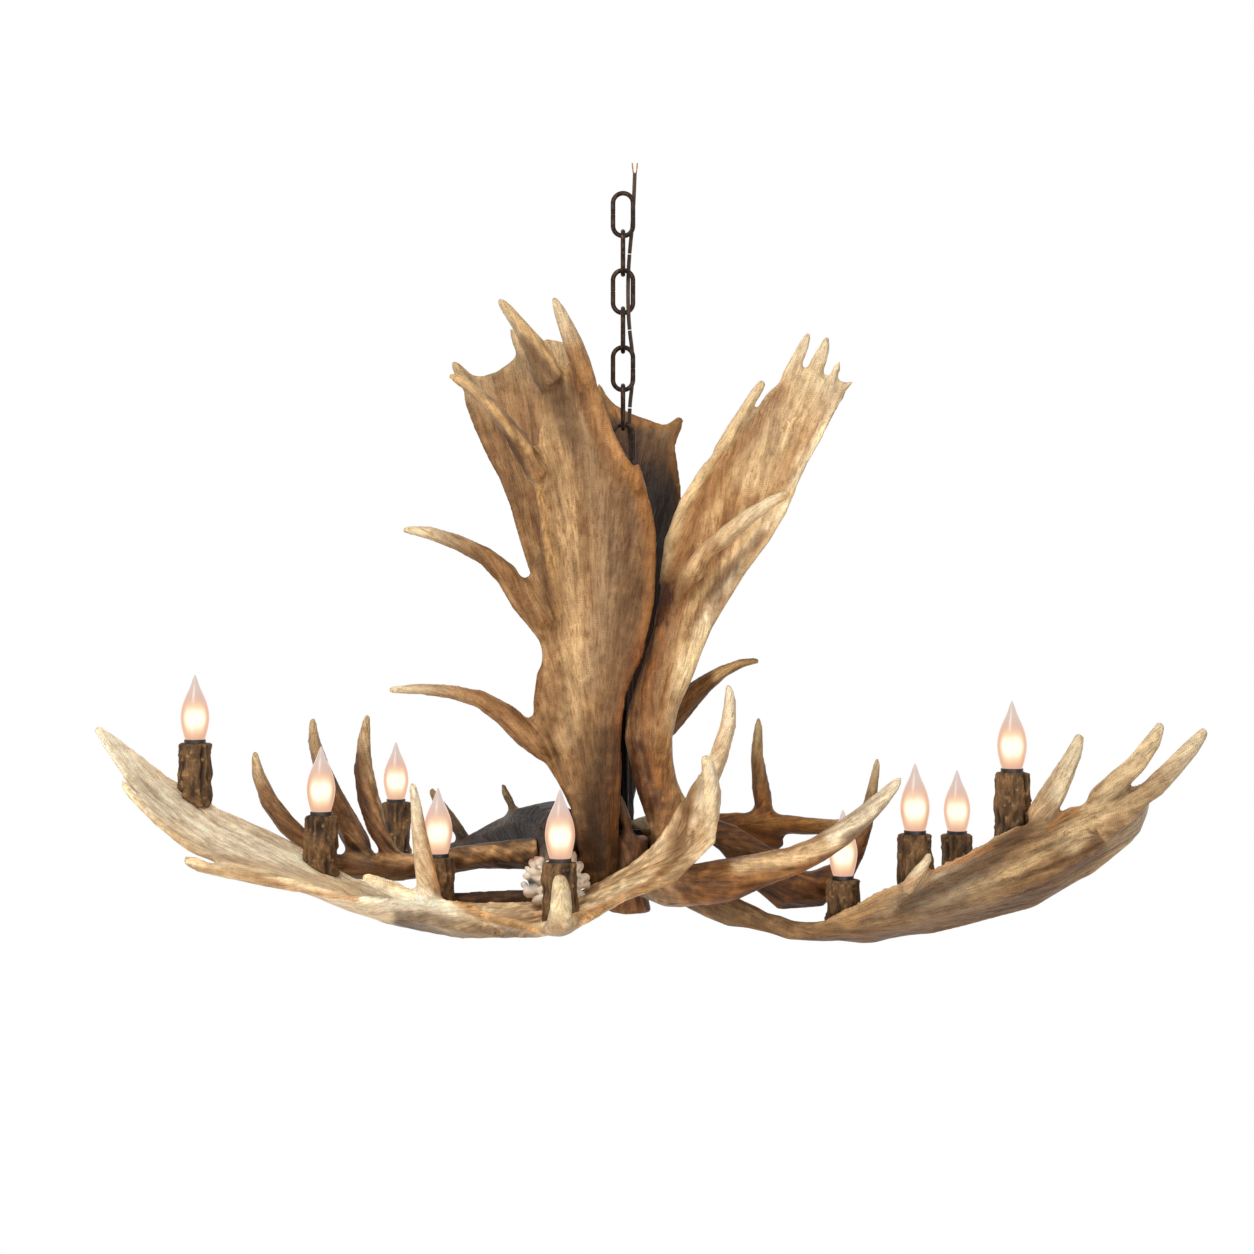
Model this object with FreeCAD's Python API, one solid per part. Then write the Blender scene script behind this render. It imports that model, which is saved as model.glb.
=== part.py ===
import FreeCAD, Part
import math
import os

# Antler chandelier on a chain. Millimetres, +Z up.
# Origin: the inner top of chain link 1, where the ceiling hook bears.
# +X to the right and -Y to the front, as the fixture is looked at.

# ---- front elevation ---------------------------------------------------------------------
# Antlers are laid out on a front elevation. u runs right and v runs down, UNIT mm per step at
# depth 0, as seen by an eye EYE_DISTANCE in front of the chain. Depth is the part's own Y.
UNIT = 1.10
EYE_DISTANCE = 2300.0
EYE_U = 627.0
EYE_V = 627.0
AXIS_SHIFT = 4.4              # from the chain's axis to the middle line of sight
EYE_HEIGHT = -475.0

# ---- chain -------------------------------------------------------------------------------
LINK_COUNT = 7
LINK_SIDES = 6
BEND_STEPS = 5
WIRE_R = 2.5
LINK_LENGTH = 47.0            # between the centres of a link's end bars
LINK_HALF_WIDTH = 11.0        # centre of the wire to the link's middle
SEAM_GAP = 0.6
SEAM_SIDES = (1.0, 1.0, 1.0, -1.0, -1.0, 1.0, -1.0)  # per link from the top: -1 is right or back
RUNNING_GAP = 0.3
WIRE_FLAT = WIRE_R * math.cos(math.pi / LINK_SIDES)
BAR_STEP = 2.0 * WIRE_FLAT + RUNNING_GAP

# ---- stem and hub --------------------------------------------------------------------------
STEM_R = 6.5
STEM_BORE_R = 4.5
LOOP_LENGTH = 26.0
LOOP_HALF_WIDTH = 7.0
CAP_R = 10.8
CAP_HEIGHT = 14.0
STEM_BOTTOM = -783.0
HUB_PLATE_R = 20.5
HUB_PLATE_THICK = 3.0
LOWER_PLATE_Z = -776.0
UPPER_PLATE_Z = -700.0
NUT_R = 10.5
NUT_HEIGHT = 5.0
SCREW_R = 2.4
SCREW_CIRCLE = 15.0
SCREW_LENGTH = 30.0
HOLE_CLEARANCE = 0.15

# ---- lights --------------------------------------------------------------------------------
ROUND_SIDES = 8
CUP_SIDES = 8
CUP_R = 17.0
CUP_BORE_R = 12.5
CUP_OVERHANG = 12.0
HOLDER_R = 12.2
HOLDER_RISE = 4.0
HOLDER_FLOOR = -38.0
HOLDER_MOUTH_R = 11.4
HOLDER_MOUTH_FLOOR = -8.5
SHELL_R = 5.9
SHELL_TOP = -8.2
SHELL_BOTTOM = -30.0
SHELL_CLEARANCE = 0.3
NIPPLE_R = 4.8
NIPPLE_DEPTH = 5.0

# ---- supply cord -----------------------------------------------------------------------------
CORD_R = 2.2
CORD_SIDES = 6
CORD_BESIDE = 7.0
CORD_BEHIND = 5.8
CORD_CROSSING = 15.0

V = FreeCAD.Vector


def spot(u, v, depth):
    """A point of the front elevation, at a depth, in the part's frame."""
    scale = UNIT * (EYE_DISTANCE + depth) / EYE_DISTANCE
    across = (u - EYE_U) * scale + AXIS_SHIFT
    height = (EYE_V - v) * scale + EYE_HEIGHT
    return V(across, depth, height)


def real(width, depth):
    """A width of the front elevation in millimetres."""
    return width * UNIT * (EYE_DISTANCE + depth) / EYE_DISTANCE


# ---- solids from rings -------------------------------------------------------------------------
def cap(row):
    """Facets across a ring, zigzag from its first point to the opposite one."""
    facets = []
    low = 0
    high = len(row) - 1
    while high - low > 1:
        facets.append((row[low], row[low + 1], row[high]))
        low += 1
        if high - low > 1:
            facets.append((row[low], row[high - 1], row[high]))
            high -= 1
    return facets


def skin(rings):
    """One flat-faced solid through rings of equal counts of points."""
    points = []
    facets = []
    rows = []
    for ring in rings:
        row = []
        for point in ring:
            row.append(len(points))
            points.append((point.x, point.y, point.z))
        rows.append(row)
    count = len(rings[0])
    for low, high in zip(rows, rows[1:]):
        for k in range(count):
            n = (k + 1) % count
            facets.append((low[k], low[n], high[n]))
            facets.append((low[k], high[n], high[k]))
    facets += [facet[::-1] for facet in cap(rows[0])] + cap(rows[-1])
    shell = Part.Shape()
    shell.makeShapeFromMesh((points, facets), 0.001)
    solid = Part.makeSolid(shell)
    if solid.Volume < 0:
        solid.reverse()
    return solid


def circle(centre, first, second, radius, sides, turn=0.5):
    """A regular ring of points, the first turned by a share of one side."""
    ring = []
    for k in range(sides):
        angle = 2.0 * math.pi * (k + turn) / sides
        ring.append(centre + first * (radius * math.cos(angle)) + second * (radius * math.sin(angle)))
    return ring


def lathe(centre, profile, sides):
    """A solid of revolution about Z, in flat facets. The profile is (height, radius)."""
    rings = []
    for height, radius in profile:
        middle = centre + V(0, 0, height)
        rings.append(circle(middle, V(1, 0, 0), V(0, 1, 0), radius, sides))
    return skin(rings)


def direction(centres, i):
    """Unit direction of a centre line at its i-th point."""
    ahead = centres[min(i + 1, len(centres) - 1)]
    behind = centres[max(i - 1, 0)]
    return (ahead - behind).normalize()


def tube_rings(centres, radii, sides):
    """Rings square to a centre line, carried along it without twist."""
    rings = []
    side = None
    for i, centre in enumerate(centres):
        along = direction(centres, i)
        if side is None:
            side = along.cross(V(0, 0, 1))
            if side.Length < 0.2:
                side = along.cross(V(1, 0, 0))
        side = (side - along * side.dot(along)).normalize()
        rings.append(circle(centre, side, along.cross(side), radii[i], sides))
    return rings


def curve_point(before, start, end, after, t):
    """A point of the smooth curve through four values, between the middle two."""
    a = end * 0.5 - before * 0.5
    b = after * 0.5 - start * 0.5
    c0 = 2 * t ** 3 - 3 * t ** 2 + 1
    c1 = t ** 3 - 2 * t ** 2 + t
    c2 = 3 * t ** 2 - 2 * t ** 3
    c3 = t ** 3 - t ** 2
    return start * c0 + a * c1 + end * c2 + b * c3


def refined(values, steps):
    """The values with smooth steps put between them."""
    result = []
    for i in range(len(values) - 1):
        before = values[max(i - 1, 0)]
        after = values[min(i + 2, len(values) - 1)]
        for s in range(steps):
            result.append(curve_point(before, values[i], values[i + 1], after, s / steps))
    result.append(values[-1])
    return result


def horn(stations, sides=6, steps=1):
    """A tapering beam or tine. Stations are (u, v, depth, seen width)."""
    centres = refined([spot(u, v, depth) for u, v, depth, width in stations], steps)
    radii = refined([0.5 * real(width, depth) for u, v, depth, width in stations], steps)
    return skin(tube_rings(centres, radii, sides))


PALM_SHARES = (0.0, 0.25, 0.5, 0.75, 1.0)
RIM_SHARE = 0.45              # a blade's rim against the thickness of its middle


def palm(rungs, bulge):
    """A cupped blade. Rungs are (edge, other edge, thickness, sag), sagging towards bulge."""
    lefts = [spot(*rung[0]) for rung in rungs]
    rights = [spot(*rung[1]) for rung in rungs]
    middles = [(a + b) * 0.5 for a, b in zip(lefts, rights)]
    spans = [b - a for a, b in zip(lefts, rights)]
    normals = [span.cross(direction(middles, i)).normalize() for i, span in enumerate(spans)]
    facing = sum(normal.dot(bulge) for normal in normals)
    rings = []
    for i, rung in enumerate(rungs):
        across = spans[i]
        normal = normals[i] * (1.0 if facing > 0 else -1.0)
        outer = []
        inner = []
        for share in PALM_SHARES:
            line = lefts[i] + across * share + normal * (rung[3] * 4.0 * share * (1.0 - share))
            half = 0.5 * rung[2] * max(RIM_SHARE, math.sqrt(1.0 - (2.0 * share - 1.0) ** 2))
            outer.append(line + normal * half)
            inner.append(line - normal * half)
        rings.append(outer + inner[::-1])
    return skin(rings)


def sight_prism(outline, near, far):
    """A prism along the sight lines through an outline, from one depth to another."""
    rings = [[spot(u, v, depth) for u, v in outline] for depth in (near, far)]
    return skin(rings)


def bounds_meet(a, b):
    """Whether two shapes' boxes meet."""
    return a.BoundBox.intersect(b.BoundBox)


def largest(shape):
    """The largest solid of a shape."""
    return max(shape.Solids, key=lambda solid: solid.Volume)


def joined(pieces):
    """One solid from overlapping pieces."""
    whole = pieces[0].multiFuse(pieces[1:]) if len(pieces) > 1 else pieces[0]
    return largest(whole.removeSplitter())


def coped(shape, others):
    """The shape with others cut out of it, its largest piece kept."""
    near = [other for other in others if bounds_meet(shape, other)]
    if not near:
        return shape
    return largest(shape.cut(near).removeSplitter())


def save(name, shape):
    """Write one node."""
    shape.removeSplitter().exportStep("parts/%s.step" % name)


# ---- chain links -------------------------------------------------------------------------------
def link_route(top, across, length, half_width):
    """Centre line of a link from its seam round to its seam, and back to the start."""
    middle = top - V(0, 0, length * 0.5)
    straight = length * 0.5 - half_width
    rise = half_width / math.cos(0.5 * math.pi / BEND_STEPS)
    route = [middle - across * half_width + V(0, 0, SEAM_GAP * 0.5)]
    for end in (1.0, -1.0):
        for k in range(BEND_STEPS + 1):
            angle = math.pi * k / BEND_STEPS
            reach = across * (-end * half_width * math.cos(angle)) + V(0, 0, end * rise * math.sin(angle))
            route.append(middle + V(0, 0, end * straight) + reach)
    route.append(middle - across * half_width - V(0, 0, SEAM_GAP * 0.5))
    return route


def link(top, across, length=LINK_LENGTH, half_width=LINK_HALF_WIDTH):
    """A bent-wire link with a butt seam in one side bar."""
    route = link_route(top, across, length, half_width)
    normal = across.cross(V(0, 0, 1))
    rings = []
    for i, centre in enumerate(route):
        along = direction(route, i)
        if i in (0, len(route) - 1):
            along = V(0, 0, 1)
        outward = normal.cross(along)
        rings.append(circle(centre, outward, normal, WIRE_R, LINK_SIDES))
    return skin(rings)


def link_top(i):
    """Centre of link i's top bar, counted from 0."""
    return V(0, 0, WIRE_FLAT - i * (LINK_LENGTH - BAR_STEP))


def chain_links():
    """The links, turned a quarter from one to the next."""
    links = []
    for i, side in enumerate(SEAM_SIDES):
        across = V(side, 0, 0) if i % 2 == 0 else V(0, side, 0)
        links.append(link(link_top(i), across))
    return links


# ---- stem ----------------------------------------------------------------------------------------
LOOP_TOP = link_top(LINK_COUNT)
CAP_TOP_Z = LOOP_TOP.z - LOOP_LENGTH
AXIS = V(0, 0, 0)


def prism(radius, low, high, sides=ROUND_SIDES, centre=AXIS):
    """An upright prism."""
    return lathe(centre, [(low, radius), (high, radius)], sides)


def stem_loop():
    """The closed loop that hangs in the last link, on the cap that the stem screws into."""
    across = V(0, LOOP_HALF_WIDTH, 0)
    legs = [V(0, 0, CAP_TOP_Z - 3.0) - across, V(0, 0, CAP_TOP_Z - 3.0) + across]
    shoulder = LOOP_TOP.z - LOOP_HALF_WIDTH
    rise = LOOP_HALF_WIDTH / math.cos(0.5 * math.pi / BEND_STEPS)
    route = [legs[0]]
    for k in range(BEND_STEPS + 1):
        angle = math.pi * k / BEND_STEPS
        route.append(V(0, 0, shoulder + rise * math.sin(angle)) - across * math.cos(angle))
    route.append(legs[1])
    rings = []
    for i, centre in enumerate(route):
        along = direction(route, i)
        if i in (0, len(route) - 1):
            along = V(0, 0, 1 if i == 0 else -1)
        rings.append(circle(centre, along.cross(V(1, 0, 0)), V(1, 0, 0), WIRE_R, LINK_SIDES))
    cap = prism(CAP_R, CAP_TOP_Z - CAP_HEIGHT, CAP_TOP_Z)
    socket = prism(STEM_R, CAP_TOP_Z - CAP_HEIGHT, CAP_TOP_Z - 4.0)
    return joined([skin(rings), cap]).cut(socket)


def centre_stem():
    """The threaded tube from the cap down through the hub."""
    outer = prism(STEM_R, STEM_BOTTOM, CAP_TOP_Z - 4.0)
    return outer.cut(prism(STEM_BORE_R, STEM_BOTTOM, CAP_TOP_Z - 4.0))


def stem_body():
    """The room that the stem takes."""
    return prism(STEM_R, STEM_BOTTOM, CAP_TOP_Z - 4.0)


def hub_plate(z):
    """A round plate on the stem, drilled for the stem and for three screws."""
    plate = prism(HUB_PLATE_R, z, z + HUB_PLATE_THICK)
    return plate.cut(stem_body())


def screw_spots():
    """Where the hub screws stand round the stem."""
    angles = [math.radians(30 + 120 * k) for k in range(3)]
    return [V(SCREW_CIRCLE * math.cos(a), SCREW_CIRCLE * math.sin(a), 0) for a in angles]


def hub_screws():
    """Three lag screws up through the lower plate, with their heads under it."""
    screws = []
    for centre in screw_spots():
        profile = [
            (LOWER_PLATE_Z - 2.5, SCREW_R * 1.6),
            (LOWER_PLATE_Z, SCREW_R * 1.6),
            (LOWER_PLATE_Z, SCREW_R),
            (LOWER_PLATE_Z + SCREW_LENGTH - 5.0, SCREW_R),
            (LOWER_PLATE_Z + SCREW_LENGTH, 0.4),
        ]
        screws.append(lathe(centre, profile, 6))
    return screws


def lock_nuts():
    """Hexagon nuts over the upper plate and under the lower one."""
    lower = prism(NUT_R, LOWER_PLATE_Z - NUT_HEIGHT, LOWER_PLATE_Z, 6)
    top = UPPER_PLATE_Z + HUB_PLATE_THICK
    upper = prism(NUT_R, top, top + NUT_HEIGHT, 6)
    return [lower.cut(stem_body()), upper.cut(stem_body())]


# ---- antlers -------------------------------------------------------------------------------------
DOWN = V(0, 0, -1)
BACK = V(0, 1, 0)


def upright_front_left():
    """Moose palm standing at the front left, its face to the front."""
    blade = palm([
        ((583, 884, -30), (617, 882, -30), 32, 0),
        ((578, 845, -32), (618, 840, -32), 36, 0),
        ((570, 806, -34), (619, 800, -34), 34, 2),
        ((557, 780, -38), (620, 765, -36), 30, 3),
        ((541, 757, -42), (619, 742, -38), 27, 4),
        ((531, 728, -47), (621, 718, -40), 24, 5),
        ((534, 698, -52), (625, 692, -43), 22, 6),
        ((538, 665, -58), (638, 660, -47), 21, 8),
        ((533, 638, -64), (648, 627, -51), 20, 9),
        ((525, 610, -70), (654, 594, -56), 19, 10),
        ((526, 578, -76), (656, 562, -62), 18, 11),
        ((541, 549, -82), (655, 531, -68), 17, 12),
        ((539, 511, -88), (650, 504, -75), 16, 12),
        ((531, 480, -95), (643, 478, -82), 15, 12),
        ((534, 452, -100), (628, 460, -88), 14, 11),
        ((543, 420, -106), (612, 430, -95), 14, 10),
        ((538, 392, -112), (600, 388, -101), 13, 8),
        ((527, 368, -117), (590, 366, -106), 12, 5),
    ], BACK)
    tines = [
        [(450, 375, -128, 5), (468, 386, -124, 11), (488, 403, -119, 15), (507, 425, -114, 19),
         (523, 450, -108, 24), (542, 480, -98, 26)],
        [(498, 298, -138, 6), (507, 309, -135, 12), (519, 325, -131, 16), (530, 341, -127, 22),
         (541, 360, -121, 30), (552, 384, -112, 34)],
        [(553, 296, -130, 6), (560, 312, -126, 14), (566, 326, -122, 18), (573, 343, -118, 22),
         (580, 363, -111, 24), (587, 388, -104, 24)],
        [(402, 529, -118, 7), (430, 533, -112, 14), (459, 543, -104, 17), (485, 556, -96, 20),
         (506, 574, -87, 25), (524, 599, -76, 31), (548, 628, -66, 30)],
        [(388, 690, -88, 7), (420, 689, -82, 12), (452, 692, -74, 15), (480, 699, -66, 19),
         (504, 714, -58, 24), (526, 733, -50, 30), (552, 752, -44, 30)],
        [(637, 462, -92, 5), (638, 474, -89, 11), (637, 494, -84, 17)],
    ]
    return joined([blade] + [horn(t) for t in tines])


def upright_rear_left():
    """Second upright palm, behind the first, its scalloped top to the left."""
    blade = palm([
        ((592, 872, 20), (614, 872, 20), 26, 0),
        ((587, 800, 38), (612, 800, 38), 26, 0),
        ((573, 740, 50), (612, 740, 50), 23, 2),
        ((558, 680, 62), (612, 680, 62), 20, 4),
        ((546, 620, 75), (612, 620, 75), 17, 5),
        ((531, 575, 85), (611, 570, 85), 15, 6),
        ((519, 537, 92), (606, 535, 92), 14, 7),
        ((510, 505, 98), (602, 505, 98), 13, 8),
        ((500, 480, 104), (600, 478, 104), 13, 8),
        ((488, 458, 110), (598, 450, 108), 12, 8),
        ((474, 427, 116), (592, 420, 112), 12, 8),
        ((463, 397, 122), (585, 392, 116), 11, 8),
        ((454, 370, 127), (578, 360, 118), 10, 6),
        ((450, 352, 130), (574, 332, 120), 9, 4),
    ], BACK)
    scallop = sight_prism([
        (440, 364), (462, 366), (472, 373), (483, 376), (497, 372), (508, 364), (519, 352),
        (531, 342), (546, 339), (562, 342), (600, 350), (600, 310), (440, 310),
    ], 60, 200)
    tips = [
        [(453, 361, 129, 6), (458, 369, 128, 12), (468, 386, 125, 16)],
        [(512, 328, 122, 6), (517, 341, 122, 11), (527, 362, 121, 18)],
    ]
    return joined([largest(blade.cut(scallop))] + [horn(t) for t in tips])


def upright_rear():
    """Dark palm at the rear of the chain, with a lower tine to the right."""
    blade = palm([
        ((608, 868, 34), (634, 868, 34), 26, 0),
        ((606, 800, 60), (634, 800, 60), 26, 0),
        ((602, 740, 78), (644, 740, 78), 24, 2),
        ((598, 680, 95), (654, 680, 95), 20, 4),
        ((594, 620, 112), (664, 620, 112), 17, 6),
        ((590, 560, 126), (676, 560, 126), 15, 8),
        ((588, 520, 136), (684, 520, 136), 14, 9),
        ((590, 480, 146), (679, 480, 146), 13, 9),
        ((592, 450, 153), (675, 450, 153), 12, 9),
        ((595, 425, 159), (679, 428, 159), 11, 8),
        ((598, 380, 166), (684, 400, 166), 10, 6),
    ], BACK)
    scallop = sight_prism([
        (580, 372), (599, 381), (606, 395), (615, 405), (630, 413.5), (645, 419), (656, 424),
        (665, 425), (672, 422), (678, 417), (700, 400), (700, 350), (580, 350),
    ], 100, 240)
    tines = [
        [(681, 418, 160, 5), (677, 426, 160, 11), (668, 440, 158, 15)],
        [(760, 660, 62, 6), (742, 663, 64, 10), (722, 672, 66, 14), (704, 685, 68, 20),
         (688, 699, 70, 26), (670, 718, 74, 30), (645, 745, 80, 30)],
    ]
    return joined([largest(blade.cut(scallop))] + [horn(t) for t in tines])


def upright_right():
    """S-curved beam at the right that opens into a narrow palm with a crown of points."""
    blade = palm([
        ((640, 876, -22), (684, 866, -26), 30, 0),
        ((656, 846, -30), (697, 834, -30), 38, 0),
        ((646, 818, -32), (690, 806, -32), 42, 0),
        ((637, 792, -34), (681, 786, -34), 44, 0),
        ((625, 738, -37), (671, 740, -37), 48, 0),
        ((627, 710, -37), (677, 712, -37), 48, 0),
        ((634, 680, -36), (690, 684, -36), 46, 0),
        ((645, 655, -34), (702, 652, -34), 42, 1),
        ((654, 628, -32), (712, 628, -32), 38, 3),
        ((662, 572, -26), (746, 572, -26), 26, 8),
        ((666, 540, -22), (769, 541, -22), 20, 10),
        ((675, 513, -19), (786, 513, -19), 17, 11),
        ((688, 489, -16), (796, 486, -16), 15, 12),
        ((708, 461, -13), (808, 461, -13), 13, 12),
        ((727, 433, -10), (822, 436, -10), 12, 11),
        ((748, 415, -8), (833, 414, -8), 11, 10),
        ((764, 398, -6), (845, 396, -6), 11, 8),
        ((790, 363, -3), (848, 382, -5), 10, 5),
    ], BACK)
    tines = [
        [(809, 332, 2, 6), (804, 345, 1, 11), (797, 361, -1, 15), (786, 382, -3, 17)],
        [(828, 336, 1, 6), (824, 349, 0, 12), (817, 366, -2, 19), (809, 384, -3, 20)],
        [(840, 360, -2, 4), (836, 370, -3, 9), (829, 386, -4, 13)],
        [(853, 381, -5, 4), (846, 386, -5, 8), (835, 397, -5, 12)],
        [(763, 381, -12, 6), (755, 393, -12, 10), (745, 410, -12, 13), (733, 431, -11, 16),
         (720, 456, -9, 17)],
        [(790, 492, -92, 6), (772, 501, -86, 12), (752, 514, -79, 16), (730, 532, -70, 20),
         (708, 553, -60, 24), (688, 577, -50, 26), (675, 604, -40, 26)],
    ]
    return joined([blade] + [horn(t) for t in tines])


def lower_front_left():
    """Wide moose palm low at the front, its long side to the left and its brow side to the right."""
    blade = palm([
        ((95, 728, -4), (97, 726, 4), 8, 0),
        ((106, 748, -14), (113, 736, 12), 10, 1),
        ((121, 770, -28), (135, 753, 20), 11, 2),
        ((146, 806, -46), (166, 777, 24), 12, 3),
        ((176, 836, -60), (192, 793, 26), 13, 4),
        ((208, 857, -70), (218, 810, 28), 14, 5),
        ((245, 872, -82), (249, 824, 30), 15, 6),
        ((285, 883, -94), (287, 842, 32), 16, 8),
        ((320, 892, -104), (322, 863, 32), 17, 10),
        ((352, 900, -112), (352, 880, 28), 17, 14),
        ((390, 900, -122), (390, 892, 20), 17, 22),
        ((430, 896, -130), (430, 900, 4), 17, 28),
        ((470, 908, -140), (468, 905, -16), 18, 26),
        ((510, 922, -148), (504, 905, -32), 18, 18),
        ((545, 930, -154), (545, 905, -44), 18, 10),
        ((575, 925, -152), (574, 898, -48), 18, 4),
        ((604, 911, -146), (600, 884, -50), 16, 2),
        ((640, 893, -140), (628, 868, -52), 14, 3),
        ((675, 881, -136), (652, 848, -56), 13, 4),
        ((700, 868, -132), (668, 826, -64), 13, 5),
        ((714, 842, -130), (680, 804, -76), 13, 5),
        ((717, 812, -130), (690, 786, -90), 13, 4),
        ((713, 785, -130), (698, 770, -108), 12, 2),
    ], DOWN)
    tines = [
        [(122, 781, -40, 6), (134, 799, -48, 10), (158, 822, -60, 12), (192, 846, -70, 12),
         (232, 866, -80, 10)],
        [(184, 860, -88, 8), (200, 866, -88, 13), (226, 872, -88, 15), (262, 879, -90, 16),
         (300, 888, -92, 14)],
        [(362, 876, -128, 7), (374, 881, -128, 12), (392, 889, -128, 17), (416, 900, -128, 20)],
        [(412, 782, -158, 7), (416, 805, -154, 12), (419, 832, -149, 17), (424, 862, -142, 22),
         (428, 890, -134, 27), (430, 904, -122, 26)],
        [(560, 877, -196, 7), (561, 893, -192, 14), (561, 911, -183, 19), (557, 928, -165, 26),
         (555, 930, -142, 24)],
        [(706, 755, -130, 10), (709, 772, -130, 17), (711, 792, -128, 22), (708, 820, -124, 24)],
        [(729, 684, -74, 7), (730, 702, -76, 13), (728, 726, -80, 17), (719, 756, -86, 20),
         (706, 784, -94, 24), (692, 806, -98, 26)],
        [(689, 838, -117, 10), (692, 818, -112, 14), (698, 796, -116, 16)],
    ]
    return joined([blade] + [horn(t) for t in tines])


def lower_right():
    """Wide scooped palm at the right on a curved beam, with three long points."""
    beam = horn([
        (648, 866, 2, 36), (680, 884, -10, 38), (708, 899, -20, 35), (735, 913, -28, 31),
        (764, 926, -35, 30), (796, 934, -40, 29), (826, 936, -42, 26),
    ], 8)
    blade = palm([
        ((792, 926, -52), (792, 930, -24), 22, 6),
        ((825, 923, -62), (826, 924, 14), 18, 14),
        ((855, 907, -75), (856, 914, 44), 14, 32),
        ((878, 893, -85), (880, 903, 62), 12, 46),
        ((934, 868, -100), (938, 877, 84), 10, 59),
        ((960, 858, -105), (966, 868, 92), 9, 62),
        ((987, 842, -108), (994, 856, 95), 9, 70),
        ((1010, 829, -110), (1018, 844, 92), 9, 76),
        ((1033, 819, -112), (1043, 832, 86), 9, 76),
        ((1078, 806, -110), (1089, 811, 62), 9, 58),
        ((1100, 793, -108), (1111, 799, 44), 9, 52),
        ((1122, 784, -104), (1131, 789, 20), 9, 44),
        ((1141, 783, -96), (1147, 781, -14), 9, 28),
    ], DOWN)
    tines = [
        [(931, 852, -106, 6), (927, 861, -105, 11), (918, 875, -102, 17), (906, 892, -98, 18)],
        [(1081, 734, -118, 9), (1074, 753, -118, 17), (1063, 775, -116, 23), (1050, 798, -112, 27),
         (1036, 822, -108, 28)],
        [(1162, 723, -104, 9), (1152, 742, -106, 18), (1137, 763, -108, 21), (1117, 784, -108, 24),
         (1094, 806, -106, 26)],
        [(1206, 730, -92, 10), (1191, 748, -96, 18), (1172, 769, -100, 21), (1150, 791, -104, 25),
         (1124, 813, -106, 28), (1098, 834, -102, 28)],
        [(905, 905, 30, 12), (930, 896, 80, 22), (950, 890, 130, 26), (962, 886, 185, 24),
         (972, 876, 225, 10)],
    ]
    return joined([blade, beam] + [horn(t) for t in tines])


def lower_front_right():
    """Beam over the right palm that tapers to a long light point."""
    return horn([
        (630, 876, -22, 24), (648, 884, -40, 30), (666, 889, -60, 36), (684, 887, -68, 46), (706, 885, -74, 49),
        (732, 879, -80, 44), (762, 870, -86, 35), (792, 861, -92, 30), (818, 849, -98, 28),
        (842, 834, -104, 26), (864, 816, -108, 22), (882, 799, -111, 17), (894, 786, -113, 12),
        (902, 777, -114, 5),
    ], 10)


def lower_right_back():
    """Brown beam behind, with pearls at its base and one tall point."""
    return horn([
        (640, 856, 8, 26), (672, 836, 14, 26), (702, 826, 17, 25), (728, 838, 20, 32), (758, 864, 22, 46), (786, 889, 22, 46),
        (816, 889, 26, 38), (841, 873, 34, 28), (856, 850, 42, 20), (866, 822, 48, 16),
        (871, 797, 51, 13), (875, 775, 53, 9), (878, 757, 55, 5),
    ], 8)


def rear_right():
    """Level beam at the rear right with an upright tine."""
    beam = horn([
        (630, 836, 14, 30), (652, 827, 42, 27), (690, 822, 58, 22), (720, 822, 62, 18), (750, 822, 66, 22),
        (778, 824, 68, 23), (806, 826, 74, 19), (836, 827, 82, 16), (856, 821, 88, 11),
        (872, 806, 92, 5),
    ], 8)
    tine = horn([
        (759, 716, 78, 5), (758, 732, 77, 10), (757, 756, 75, 14), (760, 780, 72, 18),
        (763, 803, 70, 22), (765, 824, 68, 20),
    ])
    spur = horn([(742, 832, 66, 16), (760, 842, 70, 20), (778, 842, 74, 16), (785, 840, 76, 10)])
    return joined([beam, tine, spur])


def left_forked():
    """Level beam to the left that forks into three points."""
    beam = horn([
        (590, 850, 6, 40), (560, 852, 8, 38), (520, 854, 14, 33), (480, 856, 24, 27),
        (440, 862, 32, 27), (400, 868, 38, 28), (366, 868, 42, 26), (342, 866, 44, 24),
        (322, 860, 46, 18),
    ], 8)
    tines = [
        [(254, 750, 36, 6), (258, 774, 38, 14), (269, 801, 40, 19), (287, 825, 42, 21),
         (310, 846, 44, 20), (336, 862, 44, 18)],
        [(312, 717, 60, 6), (314, 741, 60, 13), (321, 766, 60, 17), (333, 794, 58, 20),
         (346, 820, 56, 25), (358, 846, 50, 30), (368, 866, 44, 24)],
        [(367, 714, 28, 6), (364, 740, 30, 14), (363, 768, 32, 20), (368, 798, 33, 23),
         (378, 826, 34, 25), (392, 856, 36, 24)],
    ]
    return joined([beam] + [horn(t) for t in tines])


def rear_left():
    """Long beam that starts at the beaded burr in front and runs to the rear left."""
    beam = horn([
        (556, 880, -66, 46), (560, 872, -40, 46), (564, 856, -8, 52), (562, 836, 28, 60),
        (548, 828, 66, 56), (526, 831, 104, 50), (498, 840, 146, 38), (470, 850, 204, 28),
        (440, 858, 262, 24), (416, 864, 306, 22), (394, 866, 345, 23), (370, 868, 388, 15),
        (350, 862, 422, 6),
    ], 8)
    tines = [
        [(502, 783, 116, 5), (506, 794, 117, 8), (512, 806, 118, 12), (519, 826, 118, 16)],
        [(430, 788, 222, 6), (437, 800, 222, 10), (450, 818, 222, 13), (466, 842, 214, 15)],
    ]
    return joined([beam] + [horn(t) for t in tines])


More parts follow.
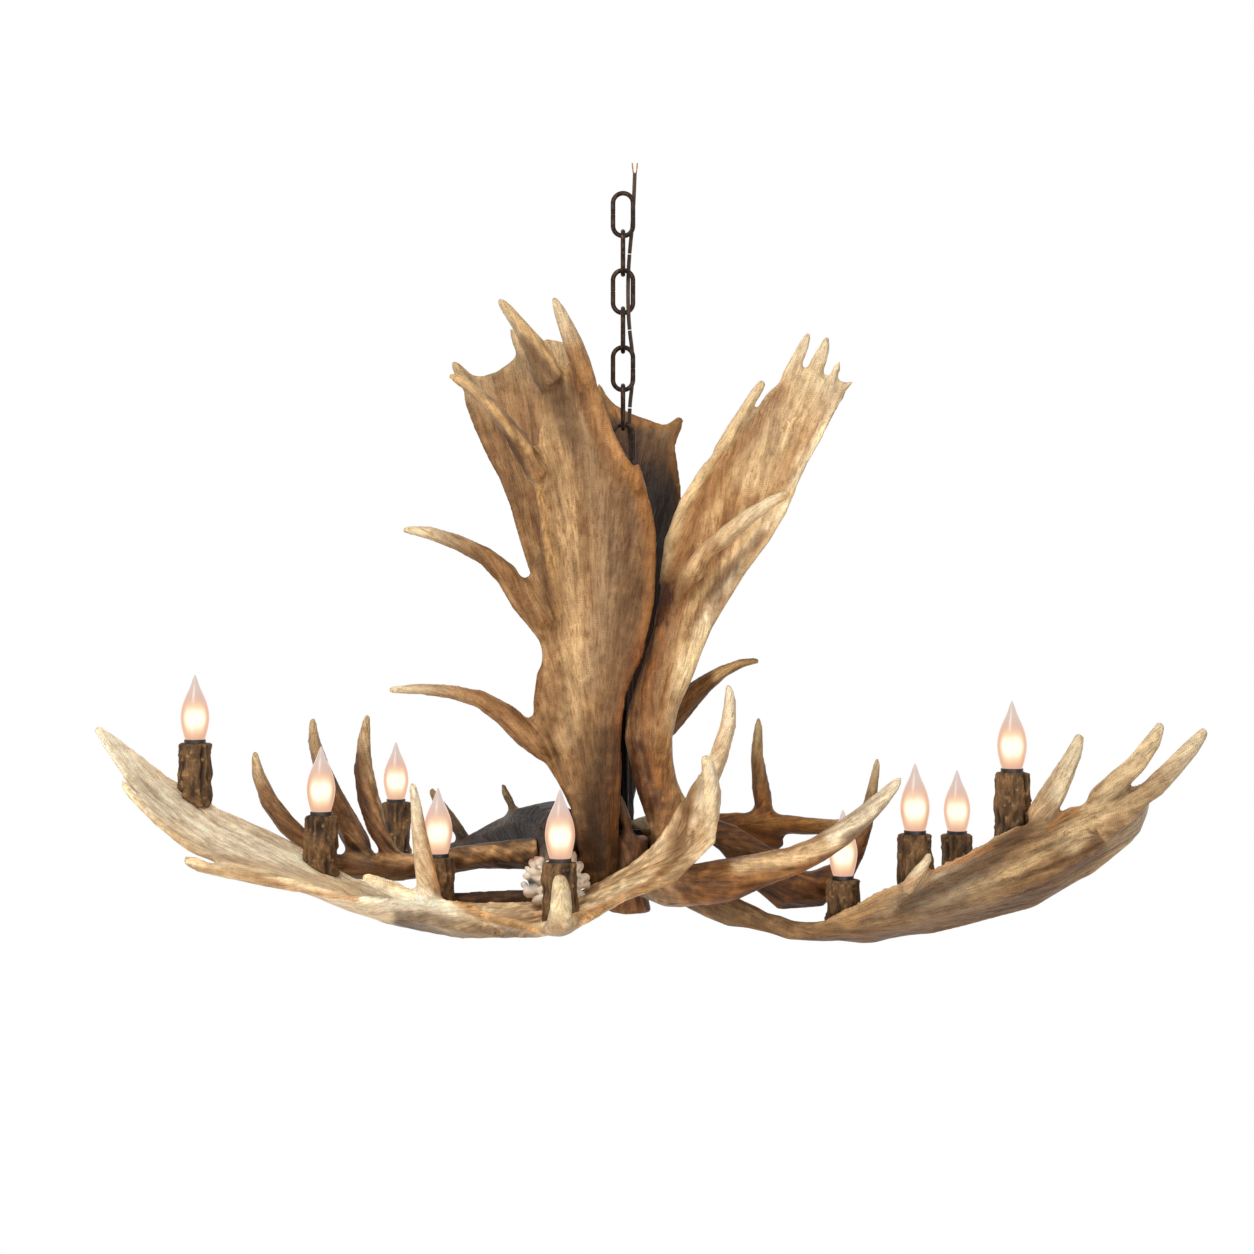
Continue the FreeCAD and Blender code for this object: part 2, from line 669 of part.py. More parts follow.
def burr_rosette():
    """The beaded burr at the start of the rear left beam, facing the front."""
    middle = spot(556, 880, -66)
    beads = 14
    rims = []
    for depth, reach in ((-14.0, 0.86), (-8.0, 1.0), (0.0, 0.93)):
        ring = []
        for k in range(2 * beads):
            angle = math.pi * k / beads
            swell = reach * (1.0 if k % 2 == 0 else 0.84)
            ring.append(middle + V(41 * swell * math.cos(angle), depth, 30 * swell * math.sin(angle)))
        rims.append(ring)
    return skin(rims)


def front_low_beam():
    """Dark low beam behind the rim of the front palm."""
    return horn([
        (392, 906, 26, 8), (420, 903, 20, 15), (446, 902, 10, 18), (476, 900, -4, 18),
        (508, 899, -18, 19), (540, 899, -30, 20), (580, 892, -28, 26),
    ])


def rear_low_palm():
    """Low palm that runs to the rear, out of sight behind the hub."""
    beam = horn([(640, 874, 20, 30), (636, 880, 56, 30), (628, 884, 100, 26)], 8)
    blade = palm([
        ((614, 886, 86), (642, 886, 86), 20, 2),
        ((590, 880, 180), (660, 880, 180), 12, 16),
        ((584, 872, 230), (664, 872, 230), 10, 20),
        ((584, 860, 280), (662, 860, 280), 9, 18),
        ((590, 848, 318), (656, 848, 318), 9, 8),
    ], DOWN)
    tines = [
        [(590, 802, 358, 5), (592, 822, 342, 10), (598, 852, 306, 14)],
        [(626, 808, 372, 5), (626, 828, 352, 10), (626, 856, 308, 14)],
        [(660, 802, 354, 5), (657, 822, 340, 10), (648, 852, 304, 14)],
    ]
    return joined([beam, blade] + [horn(t) for t in tines])


def hub_base():
    """Rounded antler base round the stem, with a burr above and below and a small tine."""
    centre = spot(626, 870, -4)
    profile = [
        (-47, 24), (-44, 30), (-38, 30), (-33, 25), (-12, 27), (12, 27), (28, 24.5), (32, 27), (36, 26.5),
        (38, 22),
    ]
    base = lathe(centre, profile, 10)
    tine = horn([(619, 793, -20, 5), (621, 804, -20, 9), (625, 818, -19, 13), (629, 838, -16, 15)])
    base = joined([base, tine])
    recess = prism(HUB_PLATE_R + 2.0, -900.0, LOWER_PLATE_Z, 10)
    return base.cut(recess)


# ---- lights ----------------------------------------------------------------------------------------
# name, u of the axis, v of the cup's top, depth, length kept if no antler stops the cup, antler
LIGHTS = [
    ("far_left", 195, 743, 20, 50, "lower_front_left"),
    ("left", 321, 815, 4, 52, "lower_front_left"),
    ("rear_left", 396, 802, 340, 52, "rear_left"),
    ("left_centre", 438, 857, -14, 44, "front_low_beam"),
    ("front", 560, 862, -122, 52, "lower_front_left"),
    ("right_low", 843, 879, -14, 44, "lower_right"),
    ("right_centre", 915, 834, -58, 56, "lower_right"),
    ("right_back", 957, 834, 175, 52, "lower_right"),
    ("far_right", 1012, 772, -76, 66, "lower_right"),
]

GLASS = [
    (SHELL_TOP, 6.0), (1.0, 9.7), (12.0, 13.2), (27.0, 15.75), (40.0, 14.2), (51.0, 10.6),
    (62.0, 5.6), (75.5, 1.4),
]


def drop_to(shape, top, reach):
    """How far below a point a shape's surface is met, or None."""
    line = Part.makeLine(top, top - V(0, 0, reach))
    cut = line.common(shape)
    heights = [vertex.Z for vertex in cut.Vertexes]
    return top.z - max(heights) if heights else None


def cup(centre, base, length):
    """A bark cup whose foot follows the antler under it."""
    ring = circle(centre, V(1, 0, 0), V(0, 1, 0), CUP_R, CUP_SIDES)
    drops = [drop_to(base, point, length + 45.0) for point in ring]
    middle = drop_to(base, centre, length + 45.0) or length
    deepest = middle + CUP_OVERHANG
    foot = []
    for point, drop in zip(ring, drops):
        depth = min(drop, deepest) if drop is not None else deepest
        flare = (point - centre) * 1.09
        foot.append(centre + flare - V(0, 0, depth + 4.0))
    waist = [(a * 2.0 + b * 3.0) * 0.2 for a, b in zip(ring, foot)]
    waist = [V(centre.x, centre.y, p.z) + V(p.x - centre.x, p.y - centre.y, 0) * 0.95 for p in waist]
    return skin([foot, waist, ring])


def holder(centre):
    """Lampholder: a sleeve with a wide mouth and a threaded well."""
    well_r = SHELL_R + SHELL_CLEARANCE
    well_floor = SHELL_BOTTOM - 3.0 - SHELL_CLEARANCE
    profile = [
        (HOLDER_FLOOR, HOLDER_R), (HOLDER_RISE, HOLDER_R), (HOLDER_RISE, HOLDER_MOUTH_R),
        (HOLDER_MOUTH_FLOOR, well_r), (well_floor, well_r),
    ]
    return lathe(centre, profile, ROUND_SIDES)


def bulb_base(centre):
    """Screw shell with its contact button."""
    profile = [(SHELL_BOTTOM - 3.0, 2.4), (SHELL_BOTTOM, SHELL_R - 1.5), (SHELL_BOTTOM + 2.0, SHELL_R),
               (SHELL_TOP, SHELL_R)]
    return lathe(centre, profile, ROUND_SIDES)


def nipple_room(centre, base, clearance):
    """The room of the threaded nipple from the holder's floor into the antler."""
    top = centre + V(0, 0, HOLDER_FLOOR)
    drop = drop_to(base, centre, 160.0)
    low = -(drop + NIPPLE_DEPTH) if drop is not None else HOLDER_FLOOR - 20.0
    low = min(low, top.z - centre.z - 6.0)
    return lathe(centre, [(low, NIPPLE_R + clearance), (HOLDER_FLOOR, NIPPLE_R + clearance)], 6)


# ---- supply cord -------------------------------------------------------------------------------------
def cord_points():
    """Route of the cord: behind, beside and through the links, then down beside the stem."""
    middles = [link_top(i).z - LINK_LENGTH * 0.5 for i in range(LINK_COUNT)]
    loop_middle = LOOP_TOP.z - LOOP_LENGTH * 0.5
    return [
        V(13.0, 8.5, 26.0),
        V(11.5, CORD_BEHIND, middles[0]),
        V(CORD_BESIDE, CORD_BEHIND, middles[1]),
        V(5.5, CORD_BEHIND + 1.0, middles[2] + CORD_CROSSING),
        V(5.5, -CORD_BEHIND - 1.0, middles[2] - CORD_CROSSING),
        V(CORD_BESIDE, 0.0, middles[3]),
        V(11.0, CORD_BEHIND, middles[4] + CORD_CROSSING),
        V(10.5, CORD_BEHIND, middles[4] - CORD_CROSSING),
        V(CORD_BESIDE, CORD_BEHIND, middles[5]),
        V(CORD_BESIDE, CORD_BEHIND + 1.0, middles[6]),
        V(9.0, 12.5, loop_middle),
        V(9.5, 13.0, -345.0),
        V(9.5, 12.0, -400.0),
        V(9.0, 11.0, -455.0),
        V(9.0, 11.0, -510.0),
        V(9.0, 11.0, -565.0),
        V(9.0, 11.0, -620.0),
        V(9.0, 11.0, -660.0),
    ]


def rounded_route(points):
    """Straight runs joined by tangent arcs, as ring centres, and the arcs' radii."""
    centres = [points[0]]
    radii = []
    for before, corner, after in zip(points, points[1:], points[2:]):
        back = before - corner
        ahead = after - corner
        reach = 0.45 * min(back.Length, ahead.Length)
        back.normalize()
        ahead.normalize()
        turn = math.pi - back.getAngle(ahead)
        if turn < 0.01:
            centres.append(corner)
            continue
        radius = reach / math.tan(turn * 0.5)
        radii.append(radius)
        inward = (back + ahead).normalize()
        centre = corner + inward * (radius / math.cos(turn * 0.5))
        start = corner + back * reach
        steps = max(1, int(math.ceil(math.degrees(turn) / 14.0)))
        first = (start - centre).normalize()
        second = (back * -1.0).normalize()
        for k in range(steps + 1):
            angle = turn * k / steps
            centres.append(centre + first * (radius * math.cos(angle)) + second * (radius * math.sin(angle)))
    centres.append(points[-1])
    return centres, radii


def cord_body():
    """The cord, with its two bared leads at the top."""
    centres, radii = rounded_route(cord_points())
    length = sum((b - a).Length for a, b in zip(centres, centres[1:]))
    body = skin(tube_rings(centres, [CORD_R] * len(centres), CORD_SIDES))
    print("cord length %.0f mm, smallest arc %.0f mm" % (length, min(radii)))
    print("cord volume %.0f of %.0f mm3" % (body.Volume, math.pi * CORD_R ** 2 * length))
    top = cord_points()[0]
    leads = []
    for side in (-1.0, 1.0):
        start = top + V(1.1 * side, 0.0, -2.0)
        end = start + V(2.2 * side, 1.0, 12.0)
        leads.append(skin(tube_rings([start, end], [0.8, 0.8], 6)))
    return joined([body] + leads)


# ---- assembly -------------------------------------------------------------------------------------------
ANTLERS = [
    ("lower_front_left", lower_front_left),
    ("upright_front_left", upright_front_left),
    ("upright_right", upright_right),
    ("lower_front_right", lower_front_right),
    ("burr_rosette", burr_rosette),
    ("hub_base", hub_base),
    ("rear_left", rear_left),
    ("left_forked", left_forked),
    ("lower_right", lower_right),
    ("front_low_beam", front_low_beam),
    ("lower_right_back", lower_right_back),
    ("rear_right", rear_right),
    ("upright_rear_left", upright_rear_left),
    ("upright_rear", upright_rear),
    ("rear_low_palm", rear_low_palm),
]


def build_antlers(metal):
    """Every antler, each coped to the metal parts and to those before it."""
    done = {}
    for name, make in ANTLERS:
        done[name] = coped(make(), metal + list(done.values()))
    return done


def main():
    os.makedirs("parts", exist_ok=True)
    nodes = {}
    for i, shape in enumerate(chain_links()):
        nodes["chain_link_%d" % (i + 1)] = shape
    nodes["supply_cord"] = cord_body()
    nodes["stem_loop"] = stem_loop()
    nodes["centre_stem"] = centre_stem()
    screws = hub_screws()
    lower_plate = hub_plate(LOWER_PLATE_Z).cut(screws)
    upper_plate = hub_plate(UPPER_PLATE_Z)
    nuts = lock_nuts()
    metal = [stem_body(), lower_plate, upper_plate, nodes["supply_cord"], nodes["stem_loop"]] + nuts + screws
    antlers = build_antlers(metal)

    holders = []
    nipples = []
    for name, u, v, depth, length, base_name in LIGHTS:
        centre = spot(u, v, depth)
        base = antlers[base_name]
        room = nipple_room(centre, base, HOLE_CLEARANCE)
        nipple = nipple_room(centre, base, 0.0)
        body = cup(centre, base, length)
        bore = lathe(centre, [(HOLDER_FLOOR, CUP_BORE_R), (1.0, CUP_BORE_R)], ROUND_SIDES)
        near = [shape for shape in antlers.values() if bounds_meet(shape, body)]
        nodes["cup_" + name] = largest(body.cut([bore, room] + near).removeSplitter())
        for key in antlers:
            if bounds_meet(antlers[key], room):
                antlers[key] = largest(antlers[key].cut(room))
        holders.append(holder(centre))
        nipples.append(nipple)
        nodes["bulb_glass_" + name] = lathe(centre, GLASS, ROUND_SIDES)
        nodes["bulb_base_" + name] = bulb_base(centre)

    nodes.update(antlers)
    nodes["lampholders"] = Part.makeCompound(holders)
    nodes["nipples"] = Part.makeCompound(nipples)
    nodes["hub_plate_lower"] = lower_plate
    nodes["hub_plate_upper"] = upper_plate
    nodes["lock_nuts"] = Part.makeCompound(nuts)
    nodes["hub_screws"] = Part.makeCompound(screws)
    for name, shape in nodes.items():
        save(name, shape)
    print("nodes %d" % len(nodes))


main()
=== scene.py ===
import heapq
import math
import bmesh
import bpy
import numpy as np
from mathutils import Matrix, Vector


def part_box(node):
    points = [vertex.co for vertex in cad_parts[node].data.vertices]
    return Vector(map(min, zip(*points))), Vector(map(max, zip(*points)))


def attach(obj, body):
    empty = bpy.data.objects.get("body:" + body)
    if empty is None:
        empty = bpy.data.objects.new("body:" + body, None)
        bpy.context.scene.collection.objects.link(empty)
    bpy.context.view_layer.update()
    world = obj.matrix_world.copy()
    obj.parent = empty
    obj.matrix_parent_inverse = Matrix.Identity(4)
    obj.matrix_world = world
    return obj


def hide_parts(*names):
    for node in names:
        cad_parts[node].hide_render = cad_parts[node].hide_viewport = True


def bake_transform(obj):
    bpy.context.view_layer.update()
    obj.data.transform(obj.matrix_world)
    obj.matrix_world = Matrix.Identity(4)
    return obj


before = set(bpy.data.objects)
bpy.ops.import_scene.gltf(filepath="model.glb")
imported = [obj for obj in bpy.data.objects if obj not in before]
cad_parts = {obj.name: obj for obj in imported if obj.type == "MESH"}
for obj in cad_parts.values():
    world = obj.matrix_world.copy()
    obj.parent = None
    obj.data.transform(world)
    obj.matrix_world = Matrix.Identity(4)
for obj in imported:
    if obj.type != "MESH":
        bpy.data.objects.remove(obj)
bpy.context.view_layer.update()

# ---- sizes, in metres
PIXEL = 0.0011                # size of a picture point at the chain's depth
PICTURE_WIDTH = 1254          # in picture points
EYE_DISTANCE = 2.3
EYE_POINT = 627               # the picture's middle, in picture points
AXIS_SHIFT = 0.0044
EYE_HEIGHT = -0.475
ANTLER_VOXEL = 0.0020
BARK_VOXEL = 0.0014
BURR_VOXEL = 0.0009
WIRE_R = 0.0026
LINK_LENGTH = 0.047
LINK_HALF_WIDTH = 0.011
LINK_TOP = 0.002165
LINK_PITCH = 0.04237
LINK_COUNT = 7
SEAM_SIDES = (1.0, 1.0, 1.0, -1.0, -1.0, 1.0, -1.0)
LOOP_HALF_WIDTH = 0.007
LOOP_LENGTH = 0.026
CAP_R = 0.0104
CAP_HEIGHT = 0.014
STEM_R = 0.0062
STEM_BOTTOM = -0.783
CORD_R = 0.0022
LIGHTS = ("far_left", "left", "rear_left", "left_centre", "front", "right_low", "right_centre",
          "right_back", "far_right")


def spot(u, v, depth):
    """The place of a picture point at a depth behind the chain, in millimetres."""
    scale = PIXEL * (EYE_DISTANCE + depth / 1000.0) / EYE_DISTANCE
    return np.array([(u - EYE_POINT) * scale + AXIS_SHIFT, depth / 1000.0,
                     (EYE_POINT - v) * scale + EYE_HEIGHT])


def seen(points):
    """The picture's columns and rows of places, the other way round from spot."""
    scale = PIXEL * (EYE_DISTANCE + points[:, 1]) / EYE_DISTANCE
    return np.stack([(points[:, 0] - AXIS_SHIFT) / scale + EYE_POINT,
                     EYE_POINT - (points[:, 2] - EYE_HEIGHT) / scale], axis=1)


def unit(values):
    """Values held between 0 and 1."""
    return np.clip(values, 0.0, 1.0)


def toward(a, b, share):
    """A share of the way from one value to another."""
    return a + (b - a) * share


def up(height):
    """The place at a height on the chain's axis."""
    return np.array([0.0, 0.0, height])


def brushed(places, line, width):
    """How much of a soft stroke along a line falls on each place in the picture, from 0 to 1."""
    line = np.array(line, float).reshape(-1, 2)
    nearest = np.full(len(places), np.inf)
    for a, b in zip(line, line[1:]):
        way = b - a
        t = unit((places - a) @ way / way.dot(way))
        nearest = np.minimum(nearest, np.linalg.norm(places - a - t[:, None] * way, axis=1))
    return np.exp(-(nearest / width) ** 3)


def tone(code):
    """A colour as light values from its six-figure screen code."""
    values = []
    for k in (0, 2, 4):
        c = int(code[k:k + 2], 16) / 255.0
        values.append(c / 12.92 if c < 0.04045 else ((c + 0.055) / 1.055) ** 2.4)
    return np.array(values)


# ---- noise
def lattice(x, y, z, seed):
    """A repeatable value from -1 to 1 for each lattice point."""
    h = (x * 374761393 + y * 668265263 + z * 1274126177 + seed * 144269504) & 0xffffffff
    h = ((h ^ (h >> 13)) * 1103515245) & 0xffffffff
    h = ((h ^ (h >> 15)) * 668265263) & 0xffffffff
    return ((h >> 8) & 0xffff) / 32767.5 - 1.0


def noise(points, size, seed):
    """Smooth noise from -1 to 1 with cells of a size, one value per point."""
    q = points / size
    base = np.floor(q)
    f = q - base
    w = f * f * (3.0 - 2.0 * f)
    i = base.astype(np.int64)
    total = np.zeros(len(points))
    sides = (1.0 - w, w)
    for a, b, c in np.ndindex(2, 2, 2):
        share = sides[a][:, 0] * sides[b][:, 1] * sides[c][:, 2]
        total += share * lattice(i[:, 0] + a, i[:, 1] + b, i[:, 2] + c, seed)
    return total


def streak(points, grain, size, length, samples, seed):
    """Noise drawn out along the grain."""
    total = np.zeros(len(points))
    for k in range(samples):
        t = (k / (samples - 1.0) - 0.5) * length
        total += noise(points + grain * t, size, seed)
    total -= total.mean()
    return np.clip(total / (2.0 * total.std() + 1e-9), -1.5, 1.5)


# ---- meshes
def new_object(name, mesh):
    """An object for a mesh, smooth shaded, in the scene."""
    mesh.polygons.foreach_set("use_smooth", [True] * len(mesh.polygons))
    obj = bpy.data.objects.new(name, mesh)
    bpy.context.scene.collection.objects.link(obj)
    return obj


def new_mesh(name, points, faces):
    """A mesh from points and faces."""
    mesh = bpy.data.meshes.new(name)
    mesh.from_pydata([tuple(float(c) for c in p) for p in points], [], faces)
    mesh.update()
    return mesh


def mesh_object(name, points, faces):
    """An object from points and faces."""
    return new_object(name, new_mesh(name, points, faces))


def loft(rings):
    """Points and faces through rings of equal counts of points, with closed ends."""
    count = len(rings[0])
    last = (len(rings) - 1) * count
    faces = []
    for a in range(0, last, count):
        for k in range(count):
            n = (k + 1) % count
            faces.append((a + k, a + n, a + count + n, a + count + k))
    faces.append(tuple(range(count))[::-1])
    faces.append(tuple(range(last, last + count)))
    return [p for ring in rings for p in ring], faces


def join(parts):
    """One set of points and faces from several."""
    points = []
    faces = []
    for p, f in parts:
        shift = len(points)
        points += list(p)
        faces += [tuple(i + shift for i in face) for face in f]
    return points, faces


def turns(count):
    """The angles of one full turn in equal steps."""
    return [2.0 * math.pi * k / count for k in range(count)]


def turned(centre, profile, segments):
    """A turned shape: a profile of (height, radius) about the vertical through a centre."""
    return loft([[centre + np.array([radius * math.cos(a), radius * math.sin(a), height])
                  for a in turns(segments)] for height, radius in profile])


def tube(path, radius, sides, normal=(0.31, 0.77, 0.56)):
    """A round tube along a path with flat ends, its rings begun at a normal."""
    path = [np.asarray(p, float) for p in path]
    side = np.asarray(normal, float)
    rings = []
    for i, p in enumerate(path):
        along = path[min(i + 1, len(path) - 1)] - path[max(i - 1, 0)]
        along /= np.linalg.norm(along)
        side = side - along * side.dot(along)
        side /= np.linalg.norm(side)
        other = np.cross(along, side)
        rings.append([p + radius * (side * math.cos(a) + other * math.sin(a))
                      for a in turns(sides)])
    return loft(rings)


def smooth_curve(knots, steps):
    """Points on a smooth curve through knots of any dimension."""
    knots = [np.asarray(k, float) for k in knots]
    ends = [2 * knots[0] - knots[1]] + knots + [2 * knots[-1] - knots[-2]]
    out = []
    for a, b, c, d in zip(ends, ends[1:], ends[2:], ends[3:]):
        for s in range(steps):
            t = s / steps
            out.append(0.5 * (2 * b + (c - a) * t + (2 * a - 5 * b + 4 * c - d) * t * t
                              + (3 * b - a - 3 * c + d) * t ** 3))
    out.append(knots[-1])
    return out


def read(items, key, width=1, kind=np.int32):
    """One property of all of a mesh's items, in rows if it has a width."""
    values = np.empty(len(items) * width, kind)
    items.foreach_get(key, values)
    return values if width == 1 else values.reshape(-1, width)


def store(mesh, name, values):
    """Keeps one value per point for the material, or a colour or a direction."""
    kind, key = "FLOAT", "value"
    if name == "tint":
        kind, key = "FLOAT_COLOR", "color"
        values = np.concatenate([unit(values), np.ones((len(values), 1))], axis=1)
    elif values.ndim > 1:
        kind, key = "FLOAT_VECTOR", "vector"
    attribute = mesh.attributes.new(name, kind, "POINT")
    attribute.data.foreach_set(key, values.astype(np.float32).ravel())


def joined(mesh):
    """The first and the second points of the edges, each edge both ways round."""
    a, b = read(mesh.edges, "vertices", 2).T
    return np.concatenate([a, b]), np.concatenate([b, a])


def sums(index, values, pick, count):
    """The sums of the picked rows of values that share an index."""
    return np.stack([np.bincount(index, weights=column[pick], minlength=count)
                     for column in values.T], axis=1)


def keep_largest(mesh):
    """Takes out every loose skin but the largest, such as the walls of closed hollows."""
    start, end = joined(mesh)
    label = np.arange(len(mesh.vertices))
    while True:
        parent = np.arange(len(label))
        np.minimum.at(parent, label[start], label[end])
        parent = parent[parent]
        parent = parent[parent]
        if np.array_equal(parent[label], label):
            break
        label = parent[label]
    loose = label != np.bincount(label).argmax()
    if loose.any():
        work = bmesh.new()
        work.from_mesh(mesh)
        work.verts.ensure_lookup_table()
        bmesh.ops.delete(work, geom=[work.verts[k] for k in np.nonzero(loose)[0]], context="VERTS")
        work.to_mesh(mesh)
        work.free()


def settled(obj):
    """The mesh that an object's settings lead to; the object itself goes."""
    bpy.context.scene.collection.objects.link(obj)
    graph = bpy.context.evaluated_depsgraph_get()
    mesh = bpy.data.meshes.new_from_object(obj.evaluated_get(graph))
    bpy.data.objects.remove(obj)
    return mesh


def remeshed(name, mesh, voxel):
    """A copy of a mesh as one even skin of small faces."""
    obj = bpy.data.objects.new(name, mesh)
    skin = obj.modifiers.new("Skin", "REMESH")
    skin.mode = "VOXEL"
    skin.voxel_size = voxel
    even = settled(obj)
    even.materials.clear()
    keep_largest(even)
    return new_object(name, even)


class Net:
    """A mesh as arrays: its points, its joined pairs and the sums over neighbours."""

    PACE = 0.6                # how far a point moves to its neighbours' mean in one step
    IN_AND_OUT = 0.5, -0.525  # the two steps of a round that takes off edges alone

    def __init__(self, obj):
        self.mesh = obj.data
        self.points = read(self.mesh.vertices, "co", 3, float)
        self.start, self.end = joined(self.mesh)
        self.count = np.maximum(np.bincount(self.start, minlength=len(self.points)), 1.0)
        corners = read(self.mesh.loops, "vertex_index")
        square = read(self.mesh.polygons, "loop_total") == 4
        first = read(self.mesh.polygons, "loop_start")[square]
        a, b, c, d = [corners[first + k] for k in range(4)]
        self.wide_start = np.concatenate([self.start, a, c, b, d])
        self.wide_end = np.concatenate([self.end, c, a, d, b])

    def mean(self, values):
        """Each point's mean over its neighbours."""
        n = len(values)
        if values.ndim == 1:
            return np.bincount(self.start, weights=values[self.end], minlength=n) / self.count
        return sums(self.start, values, self.end, n) / self.count[:, None]

    def relax(self, values, rounds, paces=(PACE,)):
        """Values evened out over the skin."""
        for pace in paces * rounds:
            values = values + pace * (self.mean(values) - values)
        return values

    def fair(self, rounds):
        """Rounds off edges and keeps the thickness."""
        before = self.points
        self.points = self.relax(before, rounds, self.IN_AND_OUT)
        out = self.normals()
        lost = np.sum((before - self.points) * out, axis=1)
        self.points = self.points + out * self.relax(lost, rounds)[:, None]

    def ease(self, spread):
        """Fills the sharp creases where a point roots in a blade, over a spread in metres."""
        step = np.linalg.norm(self.points[self.start] - self.points[self.end], axis=1).mean()
        rounds = int((spread / step) ** 2)
        crease = np.sum((self.points - self.relax(self.points, 12)) * self.normals(), axis=1)
        share = self.relax(unit(-crease / 0.0004 - 0.5), rounds)
        self.melt(unit(share * 6.0), rounds * 3)

    def melt(self, share, rounds):
        """Evens out the skin where a share is high."""
        near = np.nonzero(share > 0.004)[0]
        place = np.full(len(share), -1)
        place[near] = np.arange(len(near))
        pick = place[self.start] >= 0
        start, end = place[self.start[pick]], self.end[pick]
        self.points = self.points.copy()
        for _ in range(rounds):
            mean = sums(start, self.points, end, len(near)) / self.count[near, None]
            self.points[near] += self.PACE * share[near, None] * (mean - self.points[near])

    def write(self):
        """Puts the points back into the mesh."""
        self.mesh.vertices.foreach_set("co", self.points.ravel())
        self.mesh.update()

    def normals(self):
        """Outward direction at each point."""
        self.write()
        return read(self.mesh.vertices, "normal", 3, float)

    def distance(self, sources):
        """Distance over the skin from the sources."""
        order = np.argsort(self.wide_start, kind="stable")
        ends = self.wide_end[order]
        spans = np.linalg.norm(self.points[self.wide_start[order]] - self.points[ends], axis=1)
        first = np.searchsorted(self.wide_start[order], np.arange(len(self.points) + 1)).tolist()
        ends, spans = ends.tolist(), spans.tolist()
        far = [1e9] * len(self.points)
        for s in sources:
            far[s] = 0.0
        heap = [(0.0, s) for s in sources]
        heapq.heapify(heap)
        while heap:
            d, p = heapq.heappop(heap)
            if d > far[p]:
                continue
            for k in range(first[p], first[p + 1]):
                q = ends[k]
                if d + spans[k] < far[q]:
                    far[q] = d + spans[k]
                    heapq.heappush(heap, (far[q], q))
        return np.array(far)

    def peaks(self, values, rounds):
        """The points where values are highest within a few rounds of neighbours."""
        highest = values.copy()
        order = np.argsort(self.start, kind="stable")
        ends = self.end[order]
        first = np.searchsorted(self.start[order], np.arange(len(self.points)))
        for _ in range(rounds):
            highest = np.maximum(highest, np.maximum.reduceat(highest[ends], first))
        return np.nonzero(values >= highest - 1e-7)[0]

    def grain(self, values):
        """Direction in which values rise along the skin, evened out."""
        step = self.points[self.end] - self.points[self.start]
        rise = (values[self.end] - values[self.start]) / (np.sum(step * step, axis=1) + 1e-12)
        way = sums(self.start, rise[:, None] * step, slice(None), len(self.points))
        way = self.relax(way, 50)
        out = self.normals()
        way -= out * np.sum(way * out, axis=1)[:, None]
        return way / (np.linalg.norm(way, axis=1)[:, None] + 1e-9)


# ---- materials
class Nodes:
    """A node tree, emptied and built up anew."""

    def __init__(self, tree):
        self.tree = tree
        tree.nodes.clear()

    def put(self, socket, value):
        """Links or sets one socket."""
        if isinstance(value, bpy.types.NodeSocket):
            self.tree.links.new(value, socket)
        elif isinstance(value, np.ndarray):
            socket.default_value = (*[float(c) for c in value], 1.0)[:len(socket.default_value)]
        else:
            socket.default_value = value

    def add(self, kind, _inputs=(), **settings):
        """A node with its settings, and its inputs as (name or number, value) pairs."""
        node = self.tree.nodes.new(kind)
        for key, value in settings.items():
            setattr(node, key, value)
        for key, value in _inputs:
            self.put(node.inputs[key], value)
        return node

    def math(self, operation, a, b=0.0):
        return self.add("ShaderNodeMath", [(0, a), (1, b)], operation=operation).outputs[0]

    def times(self, a, b):
        return self.math("MULTIPLY", a, b)

    def shifted(self, place, way, step):
        """A place moved a step along a direction."""
        far = self.add("ShaderNodeVectorMath", [(0, way), ("Scale", step)], operation="SCALE")
        ends = [(0, place), (1, far.outputs[0])]
        return self.add("ShaderNodeVectorMath", ends, operation="ADD").outputs[0]

    def noise(self, place, scale, detail=2.0, rough=0.5):
        inputs = [("Vector", place), ("Scale", scale), ("Detail", detail), ("Roughness", rough)]
        return self.add("ShaderNodeTexNoise", inputs).outputs[0]

    def mix(self, share, a, b, blend="MIX"):
        """A colour between two others."""
        return self.add("ShaderNodeMix", [(0, share), (6, a), (7, b)], data_type="RGBA",
                        blend_type=blend).outputs[2]

    def ramp(self, value, low, high, bottom=0.0, top=1.0):
        """A value from one range carried over to another, with soft ends."""
        inputs = [(0, value), (1, low), (2, high), (3, bottom), (4, top)]
        return self.add("ShaderNodeMapRange", inputs, interpolation_type="SMOOTHSTEP").outputs[0]

    def to_the_eye(self):
        """1 for the camera's own rays, also after a mirror or glass, and 0 for all others."""
        rays = self.add("ShaderNodeLightPath").outputs
        direct = self.math("MAXIMUM", rays["Is Camera Ray"], rays["Is Glossy Ray"])
        return self.math("MAXIMUM", direct, rays["Is Transmission Ray"])


